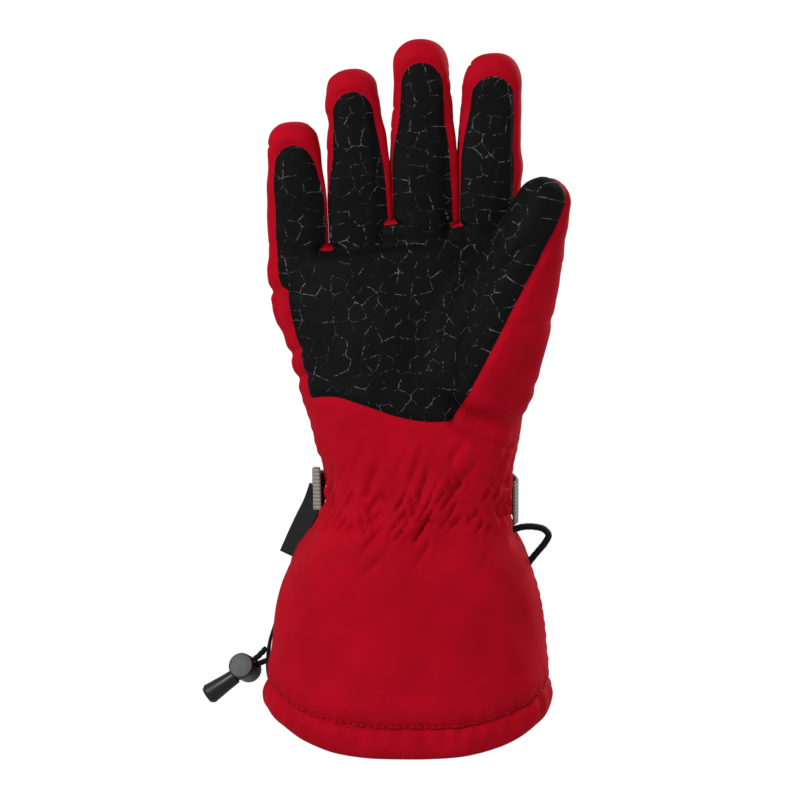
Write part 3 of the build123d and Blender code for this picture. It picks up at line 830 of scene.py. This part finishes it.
def grip_material():
    """Black grip fabric printed with broken, irregular silver-grey cells."""
    m = Shader("grip_black", BLACK, 0.7)
    m.main.inputs["Specular IOR Level"].default_value = 0.10
    place = m.rest()
    axes = m.node("SeparateXYZ", None, i0=place).outputs
    flat = m.node("CombineXYZ", None, i0=axes[0], i1=axes[2]).outputs[0]
    bent = m.node("TexNoise", None, Vector=flat, Scale=0.22, Detail=1.0).outputs["Color"]
    bent = m.stretch(bent, (2.2, 2.2, 0.0))
    flat = m.node("VectorMath", {"operation": "ADD"}, i0=flat, i1=bent).outputs[0]
    settings = {"feature": "DISTANCE_TO_EDGE", "voronoi_dimensions": "2D"}
    cells = m.node("TexVoronoi", settings, Vector=flat, Scale=0.138, Randomness=0.8)
    line = m.math("SUBTRACT", 1.0, m.ramp(cells.outputs["Distance"], 0.014, 0.030))
    worn = m.ramp(m.noise(flat, 0.15, 2.0), 0.42, 0.66)
    fine = m.ramp(m.noise(flat, 0.75, 3.0), 0.42, 0.56)
    mark = m.math("MULTIPLY", m.math("MULTIPLY", line, worn), fine)
    m.link(m.mix(mark, BLACK, (0.17, 0.175, 0.18)), "Base Color")
    m.link(m.math("SUBTRACT", 0.7, m.math("MULTIPLY", mark, 0.3)), "Roughness")
    m.bump(m.noise(place, 2.2, 3.0), 0.22, 0.0004)
    m.bump(line, 0.35, 0.0003)
    return m.material


def webbing_material():
    """Greige woven webbing, with painted shade in the gaps between its threads."""
    m = Shader("webbing_greige", (0.36, 0.32, 0.26), 0.8, Sheen_Weight=0.2)
    place = m.rest()
    run = m.node("SeparateXYZ", None, i0=place).outputs
    column = m.math("PINGPONG", m.math("DIVIDE", run[2], THREAD_WIDTH), 0.5)
    slant = m.math("MULTIPLY", column, 1.1)
    phase = m.math("ADD", m.math("DIVIDE", run[0], THREAD_PITCH), slant)
    thread = m.math("SINE", m.math("MULTIPLY", phase, 2 * math.pi))
    # painted shade: the colour darkens in the gaps between the raised threads, following the weave's own
    # wave
    shade = m.ramp(thread, -0.9, 0.5)
    thread_tone_with_painted_shade = m.mix(shade, (0.13, 0.115, 0.095), (0.44, 0.40, 0.335))
    worn = m.math("MULTIPLY", m.noise(place, 0.9, 3.0), 0.4)
    m.link(m.mix(worn, thread_tone_with_painted_shade, (0.26, 0.235, 0.20)), "Base Color")
    m.bump(m.noise(place, 5.0, 2.0), 0.3, 0.0002)
    return m.material


def plastic_material():
    """Black moulded acetal with a faint satin grain."""
    m = Shader("plastic_black", BLACK, 0.33)
    coordinate = m.node("TexCoord").outputs["Object"]
    m.bump(m.noise(coordinate, 2600.0, 2.0), 0.06, 0.0002)
    m.link(m.ramp(m.noise(coordinate, 90.0, 2.0), -0.9, 2.6, False), "Roughness")
    return m.material


def cloth_material(name, color, rough, grain, strength):
    """Plain dark textile with a grain of the given size."""
    m = Shader(name, color, rough, Sheen_Weight=0.03)
    m.main.inputs["Specular IOR Level"].default_value = 0.2
    coordinate = m.node("TexCoord").outputs["Object"]
    darker = tuple(0.55 * c for c in color)
    lighter = tuple(1.3 * c for c in color)
    m.link(m.mix(m.noise(coordinate, 1000.0 / grain, 3.0), darker, lighter), "Base Color")
    m.bump(m.noise(coordinate, 1000.0 / grain, 3.0), strength, 0.0004)
    return m.material


RED = softshell_material()
GRIP = grip_material()
WEB = webbing_material()
PLASTIC = plastic_material()
CORD = cloth_material("cord_black", (0.007, 0.007, 0.008), 0.75, 0.9, 0.5)
TAPE = cloth_material("tape_black", (0.007, 0.007, 0.008), 0.55, 0.7, 0.35)
FLEECE = cloth_material("fleece_charcoal", (0.030, 0.030, 0.033), 0.95, 1.6, 0.9)
THREAD = cloth_material("thread_red", (0.47, 0.001, 0.015), 0.6, 0.5, 0.3)
STEEL = Shader("spring_steel", (0.55, 0.55, 0.56), 0.3, Metallic=1.0).material


# ---- cutting the shell into its pieces -----------------------------------------------------------
class Sheet:
    """Faces over points that carry arrays of values; it can be cut where an array crosses zero."""

    def __init__(self, arrays, faces):
        self.arrays = arrays
        self.faces = faces

    def cut(self, key):
        """Splits every face that crosses zero of arrays[key]."""
        value = self.arrays[key]
        faces, extra, made = [], [], {}
        count = len(value)

        def crossing(i, j):
            """Number of the new point on the edge between points i and j."""
            pair = (min(i, j), max(i, j))
            if pair not in made:
                t = value[pair[0]] / (value[pair[0]] - value[pair[1]])
                extra.append((pair[0], pair[1], t))
                made[pair] = count + len(extra) - 1
            return made[pair]

        def uncut(face):
            inside = [value[i] > 0 for i in face]
            return all(inside) or not any(inside)

        for face in self.faces:
            if uncut(face):
                faces.append(face)
                continue
            for k in range(1, len(face) - 1):
                tri = (face[0], face[k], face[k + 1])
                if uncut(tri):
                    faces.append(tri)
                    continue
                inside = [value[i] > 0 for i in tri]
                odd = inside.index(sum(inside) == 1)
                a, b, c = tri[odd], tri[(odd + 1) % 3], tri[(odd + 2) % 3]
                ab, ac = crossing(a, b), crossing(a, c)
                faces += [(a, ab, ac), (ab, b, c, ac)]
        if extra:
            low, high, t = (np.array(column) for column in zip(*extra))
            for name, array in self.arrays.items():
                share = t.reshape(-1, *([1] * (array.ndim - 1)))
                joined = array[low] * (1 - share) + array[high] * share
                self.arrays[name] = np.concatenate([array, joined])
            self.arrays[key][count:] = 0.0
        self.faces = faces


def centres(sheet, key):
    """Mean of an array over each face."""
    array = sheet.arrays[key]
    return np.array([array[list(face)].mean(axis=0) for face in sheet.faces])


FINGER_BEND = (-6.0, 9.0)  # a finger's cloth bends between these places along it, at its base hinge
MIDDLE_BEND = 8.0  # and this far either side of its middle hinge
THUMB_BEND = (4.0, 15.0)
THUMB_MIDDLE_BEND = 6.0


def bend_places(digit):
    """Where along a digit its cloth starts and stops bending: base hinge, then middle hinge."""
    first, reach = (THUMB_BEND, THUMB_MIDDLE_BEND) if digit is THUMB else (FINGER_BEND, MIDDLE_BEND)
    return first, (digit.segment - reach, digit.segment + reach)


def tip_border(digit):
    """Where along a digit its root cloth ends and its tip cloth begins."""
    first, second = bend_places(digit)
    return (first[1] + second[0]) / 2


def face_labels(p):
    """Name of the cloth piece that each face centre belongs to, without its colour."""
    nearest, field, _, _, along, _ = digit_of(p)
    labels = np.full(len(p), "hand", dtype=object)
    outside_hand = field < hand_field(p)
    for index, digit in enumerate(DIGITS):
        start = bend_places(digit)[0][0] - 1.0
        own = (nearest == index) & outside_hand & (along > start)
        labels[own] = digit.name
        labels[own & (along > tip_border(digit))] = f"{digit.name}_tip"
    return labels


def hand_part(p, black):
    """Which sewn panel of the hand each face belongs to."""
    x, y, z = p.T
    names = np.full(len(p), "back_upper", dtype=object)
    (x0, z0), (x1, z1) = BACK_SEAM[0], BACK_SEAM[-1]
    below = (z - z0) * (x1 - x0) < (x - x0) * (z1 - z0)
    back = y < np.where(x > 0, ulnar_seam_y(z), np.where(z < 150.0, 0.0, 4.0))
    names[back & below] = "back_lower"
    names[~back] = "gauntlet_palm"
    thumb_side = THUMB.field(p) < hand_field(p)
    names[~back & thumb_side] = "thumb_root"
    names[black] = "palm_grip"
    names[black & thumb_side] = "thumb_gusset"
    return names


def new_mesh(name, points, faces, rest=None, normals=None):
    """A smooth mesh object from points in millimetres."""
    mesh = bpy.data.meshes.new(name)
    verts = [tuple(v) for v in np.asarray(points) * MM]
    mesh.from_pydata(verts, [], [tuple(int(i) for i in face) for face in faces])
    mesh.polygons.foreach_set("use_smooth", [True] * len(mesh.polygons))
    if rest is not None:
        attribute = mesh.attributes.new("rest", "FLOAT_VECTOR", "POINT")
        attribute.data.foreach_set("vector", np.asarray(rest, float).ravel())
    if normals is not None:
        mesh.normals_split_custom_set_from_vertices([tuple(n) for n in normals])
    mesh.update()
    obj = bpy.data.objects.new(name, mesh)
    bpy.context.scene.collection.objects.link(obj)
    return obj


THUMB_PRINT = 300.0  # moves the thumb on to its own part of the printed pattern


def print_place(p, label):
    """Where the printed pattern lies: flat on the palm, turned to the pad on the thumb."""
    if label.startswith("thumb") and label != "thumb_root":
        across, pad, along = THUMB.local(p)
        return points_of(across + THUMB_PRINT, pad, along)
    return p


def take(sheet, chosen, name, label):
    """New object from the chosen faces of the sheet."""
    faces = [face for face, wanted in zip(sheet.faces, chosen) if wanted]
    used = np.unique(np.concatenate([np.array(face) for face in faces]))
    place = np.full(len(sheet.arrays["moved"]), -1)
    place[used] = np.arange(len(used))
    faces = [tuple(place[list(face)]) for face in faces]
    points = sheet.arrays["moved"][used]
    rest = print_place(sheet.arrays["rest"][used], label)
    return new_mesh(name, points, faces, rest, sheet.arrays["normal"][used])


# the CAD nodes that each panel of the hand stands for
STANDS_FOR = {
    "back_upper": ("back_upper_panel",),
    "back_lower": ("back_lower_panel",),
    "gauntlet_palm": ("gauntlet_palm_panel", "wrist_elastic"),
    "palm_grip": ("palm_grip_panel",),
    "thumb_gusset": ("thumb_gusset",),
    "thumb_root": (),
}


def digit_piece(label, black):
    """Names of the CAD nodes that a digit's red or black cloth stands for."""
    if black:
        return (f"{label}_grip",)
    if label.startswith("thumb"):
        return (f"{label}_outer_panel", f"{label}_lining")
    if label.endswith("_tip"):
        return (f"{label}_wrap", f"{label}_lining")
    return (f"{label}_back", f"{label}_fourchettes", f"{label}_lining")


def attach(obj, label):
    """Lets a piece of cloth follow the hand; a digit's piece only has its transform baked."""
    digit = next((d for d in DIGITS if label in (d.name, f"{d.name}_tip")), None)
    if digit is None:
        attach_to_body(obj, "hand")
        return
    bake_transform(obj)


def build_shell():
    """Makes all cloth of the shell as separate pieces, and returns its whole dressed surface."""
    rest, moved, grip, quads = dressed_shell()
    normal = vertex_normals(moved, quads)
    hem = rest[:, 2] - hem_height(rest[:, 0]) - HEM_BAND
    arrays = {"rest": rest, "moved": moved, "normal": normal, "grip": grip, "hem": hem}
    sheet = Sheet(arrays, [tuple(q) for q in quads])
    sheet.cut("hem")
    sheet.cut("grip")
    middle = centres(sheet, "rest")
    black = centres(sheet, "grip") > 0
    above = centres(sheet, "hem") > 0
    labels = face_labels(middle)
    labels = np.where(labels == "hand", hand_part(middle, black), labels)
    for label in sorted(set(labels)):
        for dark in (False, True):
            chosen = (labels == label) & (black == dark) & above
            if not chosen.any():
                continue
            if label in STANDS_FOR:
                name, stands = f"{label}_cloth", STANDS_FOR[label]
            else:
                name = f"{label}_{'grip' if dark else 'shell'}_cloth"
                stands = digit_piece(label, dark)
            obj = take(sheet, chosen, name, label)
            attach(obj, label)
            slot, material = ("grip_fabric", GRIP) if dark else ("red_softshell", RED)
            finish_piece(obj, None, material, stands)
    quads = [tuple(int(i) for i in quad) for quad in quads]
    return BVHTree.FromPolygons([tuple(v) for v in moved], quads)


# ---- tubes, ribbons, stitches --------------------------------------------------------------------
def path_points(stations, count):
    """Points evenly along a smooth curve through 3-D stations."""
    pts = np.array(stations, float)
    run = run_along(pts)
    curve = curve_through(np.column_stack([run, pts]))
    return curve(np.linspace(0.0, run[-1], count))


def unit(vectors):
    return vectors / np.linalg.norm(vectors, axis=1)[:, None]


def sweep(name, pts, up, section, relief=None, closed=False):
    """Solid of a section (across, up) carried along a path; relief(run, section) moves its points out."""
    step = np.roll(pts, -1, 0) - np.roll(pts, 1, 0) if closed else np.gradient(pts, axis=0)
    tangent = unit(step)
    side = unit(np.cross(tangent, np.array(up, float)))
    top = np.cross(side, tangent)
    section = np.array(section, float)
    count, around = len(pts), len(section)
    run = run_along(pts)
    verts, rests = [], []
    for i in range(count):
        shape = section if relief is None else section + relief(run[i], section)
        verts.append(pts[i] + np.outer(shape[:, 0], side[i]) + np.outer(shape[:, 1], top[i]))
        rests.append(np.column_stack([np.full(around, run[i]), section[:, 0], section[:, 1]]))
    faces = tube_faces(count, around, loop=True) if closed else closed_tube(count, around)
    return new_mesh(name, np.concatenate(verts), faces, np.concatenate(rests))


WEBBING = (20.0, 1.25)  # width and thickness


def webbing_section(width=WEBBING[0], thick=WEBBING[1], count=46):
    """Thin rounded rectangle (thickness, width), divided finely enough to carry a raised weave."""
    across = np.linspace(-width / 2 + 0.4, width / 2 - 0.4, count)
    near = [(thick / 2, a) for a in across]
    far = [(-thick / 2, a) for a in across[::-1]]
    return [(0.0, -width / 2)] + near + [(0.0, width / 2)] + far


def weave(run, section):
    """Raised threads of the webbing: slanted one way, then the other, in rows along it."""
    row = section[:, 1] / THREAD_WIDTH
    slant = np.abs((row % 1.0) - 0.5)
    turn = run / THREAD_PITCH
    wave = np.sin((turn + slant * 1.1) * 2 * math.pi)
    at_edge = np.abs(section[:, 1]) > WEBBING[0] / 2 - 0.2
    edge = 0.12 * np.cos(turn * 2 * math.pi) * at_edge
    return np.column_stack([np.sign(section[:, 0]) * 0.11 * wave, np.sign(section[:, 1]) * edge])


def ribbon(name, stations, step=0.3):
    """Webbing on edge along a smooth path; its weave is real relief."""
    length = sum(math.dist(a, b) for a, b in zip(stations, stations[1:]))
    pts = path_points(stations, max(8, int(length / step)))
    return sweep(name, pts, (0, 0, 1), webbing_section(), weave)


def finish_piece(obj, body, material, stands=()):
    """Gives a piece its body and its material, and hides the CAD nodes it stands for."""
    if body:
        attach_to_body(obj, body)
    if stands:
        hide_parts(*stands)
    obj.data.materials.append(material)
    return obj


# ---- hem and lining ------------------------------------------------------------------------------
def rim_point(turn, z):
    """Point of the undressed cuff at an angle and height, and its outward direction in plan."""
    rows = HAND(z)
    x, y, depth = section_point(turn, rows)
    a, cx, _, _, n = rows.T
    out_x = np.sign(x) * (np.abs(x - cx) / a) ** (n - 1) / a
    out_y = np.sign(y) * (np.abs(y) / depth) ** (n - 1) / depth
    return x, y, unit(np.stack([out_x, out_y], 1))


def hem_ring(count):
    """Angles evenly along the rim, the hem's lower edge and outward direction there, and the length."""
    fine = np.linspace(0, 2 * math.pi, 4001)
    x, y, _ = rim_point(fine, np.full(len(fine), 10.0))
    run = run_along(np.stack([x, y], 1))
    turns = np.interp(np.linspace(0, run[-1], count, endpoint=False), run, fine)
    x, _, out = rim_point(turns, np.full(count, 4.0))
    return turns, hem_height(x), out, run[-1]


HEM_PROFILE = (  # outward from the cuff's surface, height above the rim
    (-1.6, 15.2),
    (-1.1, 14.0),
    (0.2, 13.1),
    (1.1, 11.4),
    (1.7, 9.0),
    (1.8, 6.4),
    (1.5, 4.0),
    (0.8, 2.0),
    (-0.4, 0.5),
    (-2.0, 0.0),
    (-3.6, 0.5),
    (-4.8, 2.0),
    (-5.4, 4.2),
    (-5.6, 7.5),
    (-5.5, 11.0),
    (-5.2, 15.0),
)


def hem_band():
    """The folded hem: puffed outside, rolled under and up the inside."""
    turns, rim, out, length = hem_ring(420)
    rows = [(index, *row) for index, row in enumerate(HEM_PROFILE)]
    profile = curve_through(rows)(np.linspace(0, len(rows) - 1, 44))
    run = np.arange(len(turns)) / len(turns) * length
    rings = []
    for offset, height in profile:
        x, y, _ = rim_point(turns, np.clip(rim + height, 0.0, 60.0))
        p = points_of(x, y, rim + height)
        noise = waves(p * (1, 1, 1.4), 9.0, 71) * 0.35 + waves(p, 26.0, 72) * 0.5
        drift = 1.8 * waves(p * (1, 1, 0), 22.0, 73, 6)
        ruffle = 0.38 * np.sin(run * 2 * math.pi / 8.6 + drift) * min(1.0, height / 9.0)
        push = offset + (noise + ruffle) * (1.0 if height < 13.5 else 0.4)
        p[:, :2] += out * push[:, None]
        rings.append(p)
    points = np.concatenate(rings)
    faces = [face[::-1] for face in tube_faces(len(rings), len(turns))]
    obj = new_mesh("hem_band_cloth", points, faces, points)
    return finish_piece(obj, "hand", RED, ("hem_band",))


LINING_TOP = 204.0


def cuff_lining():
    """Fleece tube inside the cuff, closed where the hand's lining narrows."""
    turns, rim, _, _ = hem_ring(200)
    rim = rim + 12.0
    rings = []
    for step in np.linspace(0.0, 1.0, 70):
        z = rim + step * (LINING_TOP - rim)
        x, y, out = rim_point(turns, z)
        p = points_of(x, y, z)
        inset = 5.6 + 1.6 * smooth(0.9, 0.2, step) + 0.7 * waves(p, 16.0, 81) + 0.3 * waves(p, 5.0, 82)
        p[:, :2] -= out * inset[:, None]
        rings.append(p)
    top = rings[-1]
    for share in (0.8, 0.5, 0.2):
        p = top * (share, share, 1.0)
        p[:, 2] += 6.0 * math.sqrt(1 - share**2)
        rings.append(p)
    faces = [face[::-1] for face in tube_faces(len(rings), len(turns))]
    faces.append(tuple(range((len(rings) - 1) * len(turns), len(rings) * len(turns))))
    points = np.concatenate(rings)
    obj = new_mesh("cuff_lining_cloth", points, faces, points)
    return finish_piece(obj, "hand", FLEECE, ("gauntlet_lining", "hand_lining"))


def circle(radius, count=12, flat=1.0):
    """Section of a cord; flat stretches it one way."""
    turns = np.linspace(0, 2 * math.pi, count, endpoint=False)
    return [(radius * math.cos(t), radius * flat * math.sin(t)) for t in turns]


def braid(run, section):
    """Crossed strands raised on a round cord."""
    outward = unit(section)
    angle = np.arctan2(section[:, 1], section[:, 0])
    left = np.sin(angle * 3 + run * 2 * math.pi / 2.6)
    right = np.sin(angle * 3 - run * 2 * math.pi / 2.6)
    return outward * (0.12 * np.maximum(left, right))[:, None]


def hem_drawcord():
    """The cord inside the hem's fold."""
    turns, rim, _, _ = hem_ring(160)
    z = rim + 6.5
    x, y, out = rim_point(turns, z)
    pts = points_of(x, y, z)
    pts[:, :2] -= out * 2.2
    obj = sweep("hem_drawcord_braid", pts, (0, 0, 1), circle(1.3), None, closed=True)
    return finish_piece(obj, "hand", CORD, ("hem_drawcord",))


# ---- wrist strap ---------------------------------------------------------------------------------
STRAP_STATIONS = (
    (-36.0, -30.4, 111.0),
    (-29.5, -33.2, 110.8),
    (-22.0, -35.6, 110.2),
    (-12.0, -37.8, 109.6),
    (-3.0, -39.2, 109.5),
    (4.0, -41.2, 109.7),
    (9.0, -43.6, 110.0),
    (12.4, -44.95, 110.0),
    (14.7, -44.3, 110.0),
    (15.3, -41.3, 110.0),
)
SLIDER_TURN = math.radians(-20.0)
SLIDER_REACH = 9.2  # from its hinge to its middle
SLIDER_LOOP = (  # along and out from the slider's middle
    (-7.5, 1.5),
    (-7.4, -0.7),
    (-6.3, -1.95),
    (-3.5, -2.12),
    (-0.7, -2.0),
    (0.72, -0.8),
    (0.85, 1.2),
)
SLIDER_ANCHOR = (
    (-45.4, -31.2, 111.0),
    (-46.9, -31.4, 111.0),
    (-48.5, -29.6, 111.0),
    (-49.6, -24.0, 110.8),
    (-50.4, -15.0, 110.4),
    (-50.2, -7.0, 110.2),
    (-48.4, 1.0, 110.0),
)
BUCKLE_ANCHOR = (
    (40.4, -31.8, 110.0),
    (42.9, -30.2, 110.6),
    (44.2, -24.0, 112.4),
    (44.3, -15.0, 114.6),
    (43.4, -7.0, 116.2),
    (41.0, 0.0, 117.0),
)


def wrist_strap():
    """The strap with its loop at the clip, its turned end in the slider, and the two sewn tabs."""
    strap = ribbon("wrist_strap_webbing", STRAP_STATIONS)
    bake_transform(strap)
    finish_piece(strap, None, WEB, ("strap_webbing", "strap_clip_loop"))

    c, s = math.cos(SLIDER_TURN), math.sin(SLIDER_TURN)
    x0, y0, z0 = joint_mm("slider_tab_lift") + np.array([c, s, 0.0]) * SLIDER_REACH
    loop = [(x0 + x * c - y * s, y0 + x * s + y * c, z0) for x, y in SLIDER_LOOP]
    for name, stations, step, body, node in (
        ("strap_end_webbing", loop, 0.25, "slider", "strap_tail_loop"),
        ("slider_tab_webbing", SLIDER_ANCHOR, 0.3, "hand", "slider_anchor_webbing"),
        ("buckle_tab_webbing", BUCKLE_ANCHOR, 0.3, "hand", "buckle_anchor_webbing"),
    ):
        finish_piece(ribbon(name, stations, step), body, WEB, (node,))


# ---- drawcord, label, tab and hang loop ----------------------------------------------------------
TAIL_DROP = math.radians(35.0)
TAIL_TILT = math.radians(25.0)
STRAND_STATIONS = (  # along the tail, half the distance between the strands, sag
    (-1.2, 2.9, 0.2),
    (1.0, 2.5, 0.3),
    (4.0, 1.75, 0.1),
    (9.0, 1.55, 0.0),
    (22.0, 1.55, 0.0),
)


def drawcord_tail():
    """Two braided strands from the tab to the cord end."""
    start = joint_mm("drawcord_swing")
    along = np.array([math.cos(TAIL_DROP), 0.0, -math.sin(TAIL_DROP)])
    up = np.array([math.sin(TAIL_DROP), 0.0, math.cos(TAIL_DROP)])
    face = np.array([0.0, -1.0, 0.0]) * math.cos(TAIL_TILT) - up * math.sin(TAIL_TILT)
    across = np.cross(face, along)
    for side, name in ((-1, "drawcord_strand_a"), (1, "drawcord_strand_b")):
        stations = []
        for u, spread, sag in STRAND_STATIONS:
            stations.append(start + along * u + across * side * spread - np.array([0, 0, sag]))
        obj = sweep(name, path_points(stations, 90), face, circle(1.25, 18), braid)
        finish_piece(obj, "drawcord", CORD, ("drawcord_tail",))


SIDE_LABEL = (
    (41.6, -9.0, 117.0),
    (44.0, -9.0, 110.0),
    (48.4, -8.6, 101.0),
    (53.0, -8.0, 91.0),
    (55.6, -7.6, 85.0),
)
EXIT_TAB = (
    (62.6, -9.0, 51.5),
    (64.6, -9.2, 45.0),
    (65.6, -9.2, 38.0),
    (65.6, -9.0, 31.0),
    (64.4, -8.8, 25.0),
)
HANG_LOOP = (
    (-48.0, 0, 98.0),
    (-52.5, 0, 99.2),
    (-58.0, 0, 99.3),
    (-62.6, 0, 98.0),
    (-64.6, 0, 95.4),
    (-63.4, 0, 92.6),
    (-59.8, 0, 88.0),
    (-56.4, 0, 83.8),
    (-54.5, 0, 81.0),
)


def sewn_strip(name, stations, width, thick, up, stands):
    """Flat tape along a path."""
    obj = sweep(name, path_points(stations, 60), up, webbing_section(width, thick, 14))
    finish_piece(obj, "hand", TAPE, stands)


def sewn_details():
    """The blank side label, the tab that the drawcord leaves by, and the hang loop."""
    sewn_strip("side_label_blank", SIDE_LABEL, 10.0, 0.9, (0.93, -0.32, 0.2), ("side_label",))
    sewn_strip("drawcord_exit_tab", EXIT_TAB, 11.0, 1.5, (0, 1, 0), ("drawcord_tab",))
    section = circle(1.45, 16, 1.7)
    obj = sweep("hang_loop_cord", path_points(HANG_LOOP, 90), (0, 1, 0), section, braid)
    finish_piece(obj, "hand", CORD, ("hang_loop",))


# ---- topstitching --------------------------------------------------------------------------------
STITCH_GAP = 3.2
STITCH_LENGTH = 2.3
STITCH_RADIUS = 0.34
STITCH_SHAPE = ((-0.5, 0.25), (-0.38, 0.9), (0.0, 1.0), (0.38, 0.9), (0.5, 0.25))  # along, thickness
STITCH_SIDES = 6


def stitch_row(name, points, surface, label):
    """A row of separate stitches laid on the dressed surface along a line near it."""
    pts = path_points(points, max(12, int(math.dist(points[0], points[-1]) / 0.8) + 40))
    run = run_along(pts)
    verts, faces = [], []
    for middle in np.arange(STITCH_GAP, run[-1] - STITCH_GAP / 2, STITCH_GAP):
        rings = []
        for share, size in STITCH_SHAPE:
            at = middle + share * STITCH_LENGTH
            place = [np.interp(at, run, pts[:, k]) for k in range(3)]
            hit, normal, _, _ = surface.find_nearest(Vector(place))
            rings.append((np.array(hit), np.array(normal), size, share))
        tangent = rings[-1][0] - rings[0][0]
        span = np.linalg.norm(tangent)
        if span < STITCH_LENGTH / 4:
            continue  # the line has left the cloth here
        tangent /= span
        faces += closed_tube(len(rings), STITCH_SIDES, len(verts))
        for hit, normal, size, share in rings:
            side = np.cross(tangent, normal)
            lift = normal * (0.3 - 0.45 * share**2)
            for t in np.linspace(0, 2 * math.pi, STITCH_SIDES, endpoint=False):
                round_it = side * math.cos(t) + normal * math.sin(t)
                verts.append(hit + lift + STITCH_RADIUS * size * round_it)
    obj = new_mesh(name, verts, faces, verts)
    attach(obj, label)
    finish_piece(obj, None, THREAD)


def topstitching(surface):
    """Stitches of the hem, the slanted back seam and the fingers' cross seams."""
    turns, rim, _, _ = hem_ring(160)
    turns, rim = np.append(turns, turns[0]), np.append(rim, rim[0])
    z = rim + HEM_BAND + 1.2
    x, y, _ = rim_point(turns, z)
    for name, part in (("hem_stitches_a", slice(0, 82)), ("hem_stitches_b", slice(80, 161))):
        stitch_row(name, [tuple(v) for v in points_of(x, y, z)[part]], surface, "hand")
    stations = [(x - 2.1, -36.0, z - 2.1) for x, z in BACK_SEAM]
    stitch_row("back_seam_stitches_low", stations, surface, "hand")
    for name, height in CROSS_SEAMS.items():
        digit = DIGITS[FINGERS.index(name)]
        place = (height - digit.origin[2]) / digit.along[2]
        half = float(digit.half_width(np.array([place]))[0]) * 0.74
        for offset, row in ((-1.9, "low"), (1.9, "high")):
            centre = digit.origin + digit.along * (place + offset) - digit.pad * half
            stations = [centre + digit.across * half * t for t in (-1.0, -0.5, 0.0, 0.5, 1.0)]
            label = f"{name}_tip" if place + offset > tip_border(digit) else name
            stitch_row(f"{name}_seam_stitches_{row}", stations, surface, label)


# ---- moulded parts keep their CAD shape ----------------------------------------------------------
HARD_PARTS = (
    "ladder_slider",
    "buckle_socket",
    "buckle_clip",
    "cord_lock_barrel",
    "cord_lock_plunger",
    "cord_end",
)


def finish_hardware():
    """Materials of the moulded parts and the spring, and softened edges on the moulded parts."""
    finishes = {name: ("black_plastic", PLASTIC) for name in HARD_PARTS}
    finishes["cord_lock_spring"] = ("spring_steel", STEEL)
    for name, (slot, material) in finishes.items():
        node = frame["nodes"][name]
        node.data.materials.clear()
        node.data.materials.append(material)
    for name in HARD_PARTS:
        bevel = frame["nodes"][name].modifiers.new("edges", "BEVEL")
        bevel.width = 0.35 * MM
        bevel.segments = 3
        bevel.limit_method = "ANGLE"
        bevel.angle_limit = math.radians(40)
        bevel.harden_normals = False


# ---- stage ---------------------------------------------------------------------------------------
def stage():
    """White world, soft studio lights, and a long lens on the palm side."""
    world = bpy.data.worlds.new("studio")
    bpy.context.scene.world = world
    world.use_nodes = True
    nodes, links = world.node_tree.nodes, world.node_tree.links
    nodes["Background"].inputs["Color"].default_value = (1.0, 1.0, 1.0, 1.0)
    ray = nodes.new("ShaderNodeLightPath")
    strength = nodes.new("ShaderNodeMapRange")
    strength.inputs["To Min"].default_value = 0.42
    strength.inputs["To Max"].default_value = 1.02
    links.new(ray.outputs["Is Camera Ray"], strength.inputs["Value"])
    links.new(strength.outputs["Result"], nodes["Background"].inputs["Strength"])

    def light(name, place, target, size, power):
        lamp = bpy.data.lights.new(name, "AREA")
        lamp.size = size
        lamp.energy = power
        obj = bpy.data.objects.new(name, lamp)
        obj.location = place
        direction = Vector(target) - Vector(place)
        obj.rotation_euler = direction.to_track_quat("-Z", "Y").to_euler()
        bpy.context.scene.collection.objects.link(obj)

    middle = (0.0, 0.0, 0.17)
    light("key", (0.75, 0.75, 0.75), middle, 0.35, 7.0)
    light("fill", (-0.9, 0.6, 0.3), middle, 0.7, 1.2)
    light("back_key", (-0.75, -0.75, 0.75), middle, 0.35, 7.0)

    lens = bpy.data.cameras.new("camera")
    lens.lens = 100.0
    camera = bpy.data.objects.new("camera", lens)
    bpy.context.scene.collection.objects.link(camera)
    bpy.context.scene.camera = camera
    target = Vector((0.004, 0.0, 0.158))
    rise, distance = math.radians(5.0), 1.02
    camera.location = target + Vector((0.0, math.cos(rise), math.sin(rise))) * distance
    camera.rotation_mode = "QUATERNION"
    camera.rotation_quaternion = (target - camera.location).to_track_quat("-Z", "Y")
    lens.clip_start, lens.clip_end = 0.05, 20.0
    bpy.context.scene.view_settings.view_transform = "Standard"


dressed_surface = build_shell()
hem_band()
cuff_lining()
hem_drawcord()
wrist_strap()
drawcord_tail()
sewn_details()
topstitching(dressed_surface)
finish_hardware()
stage()
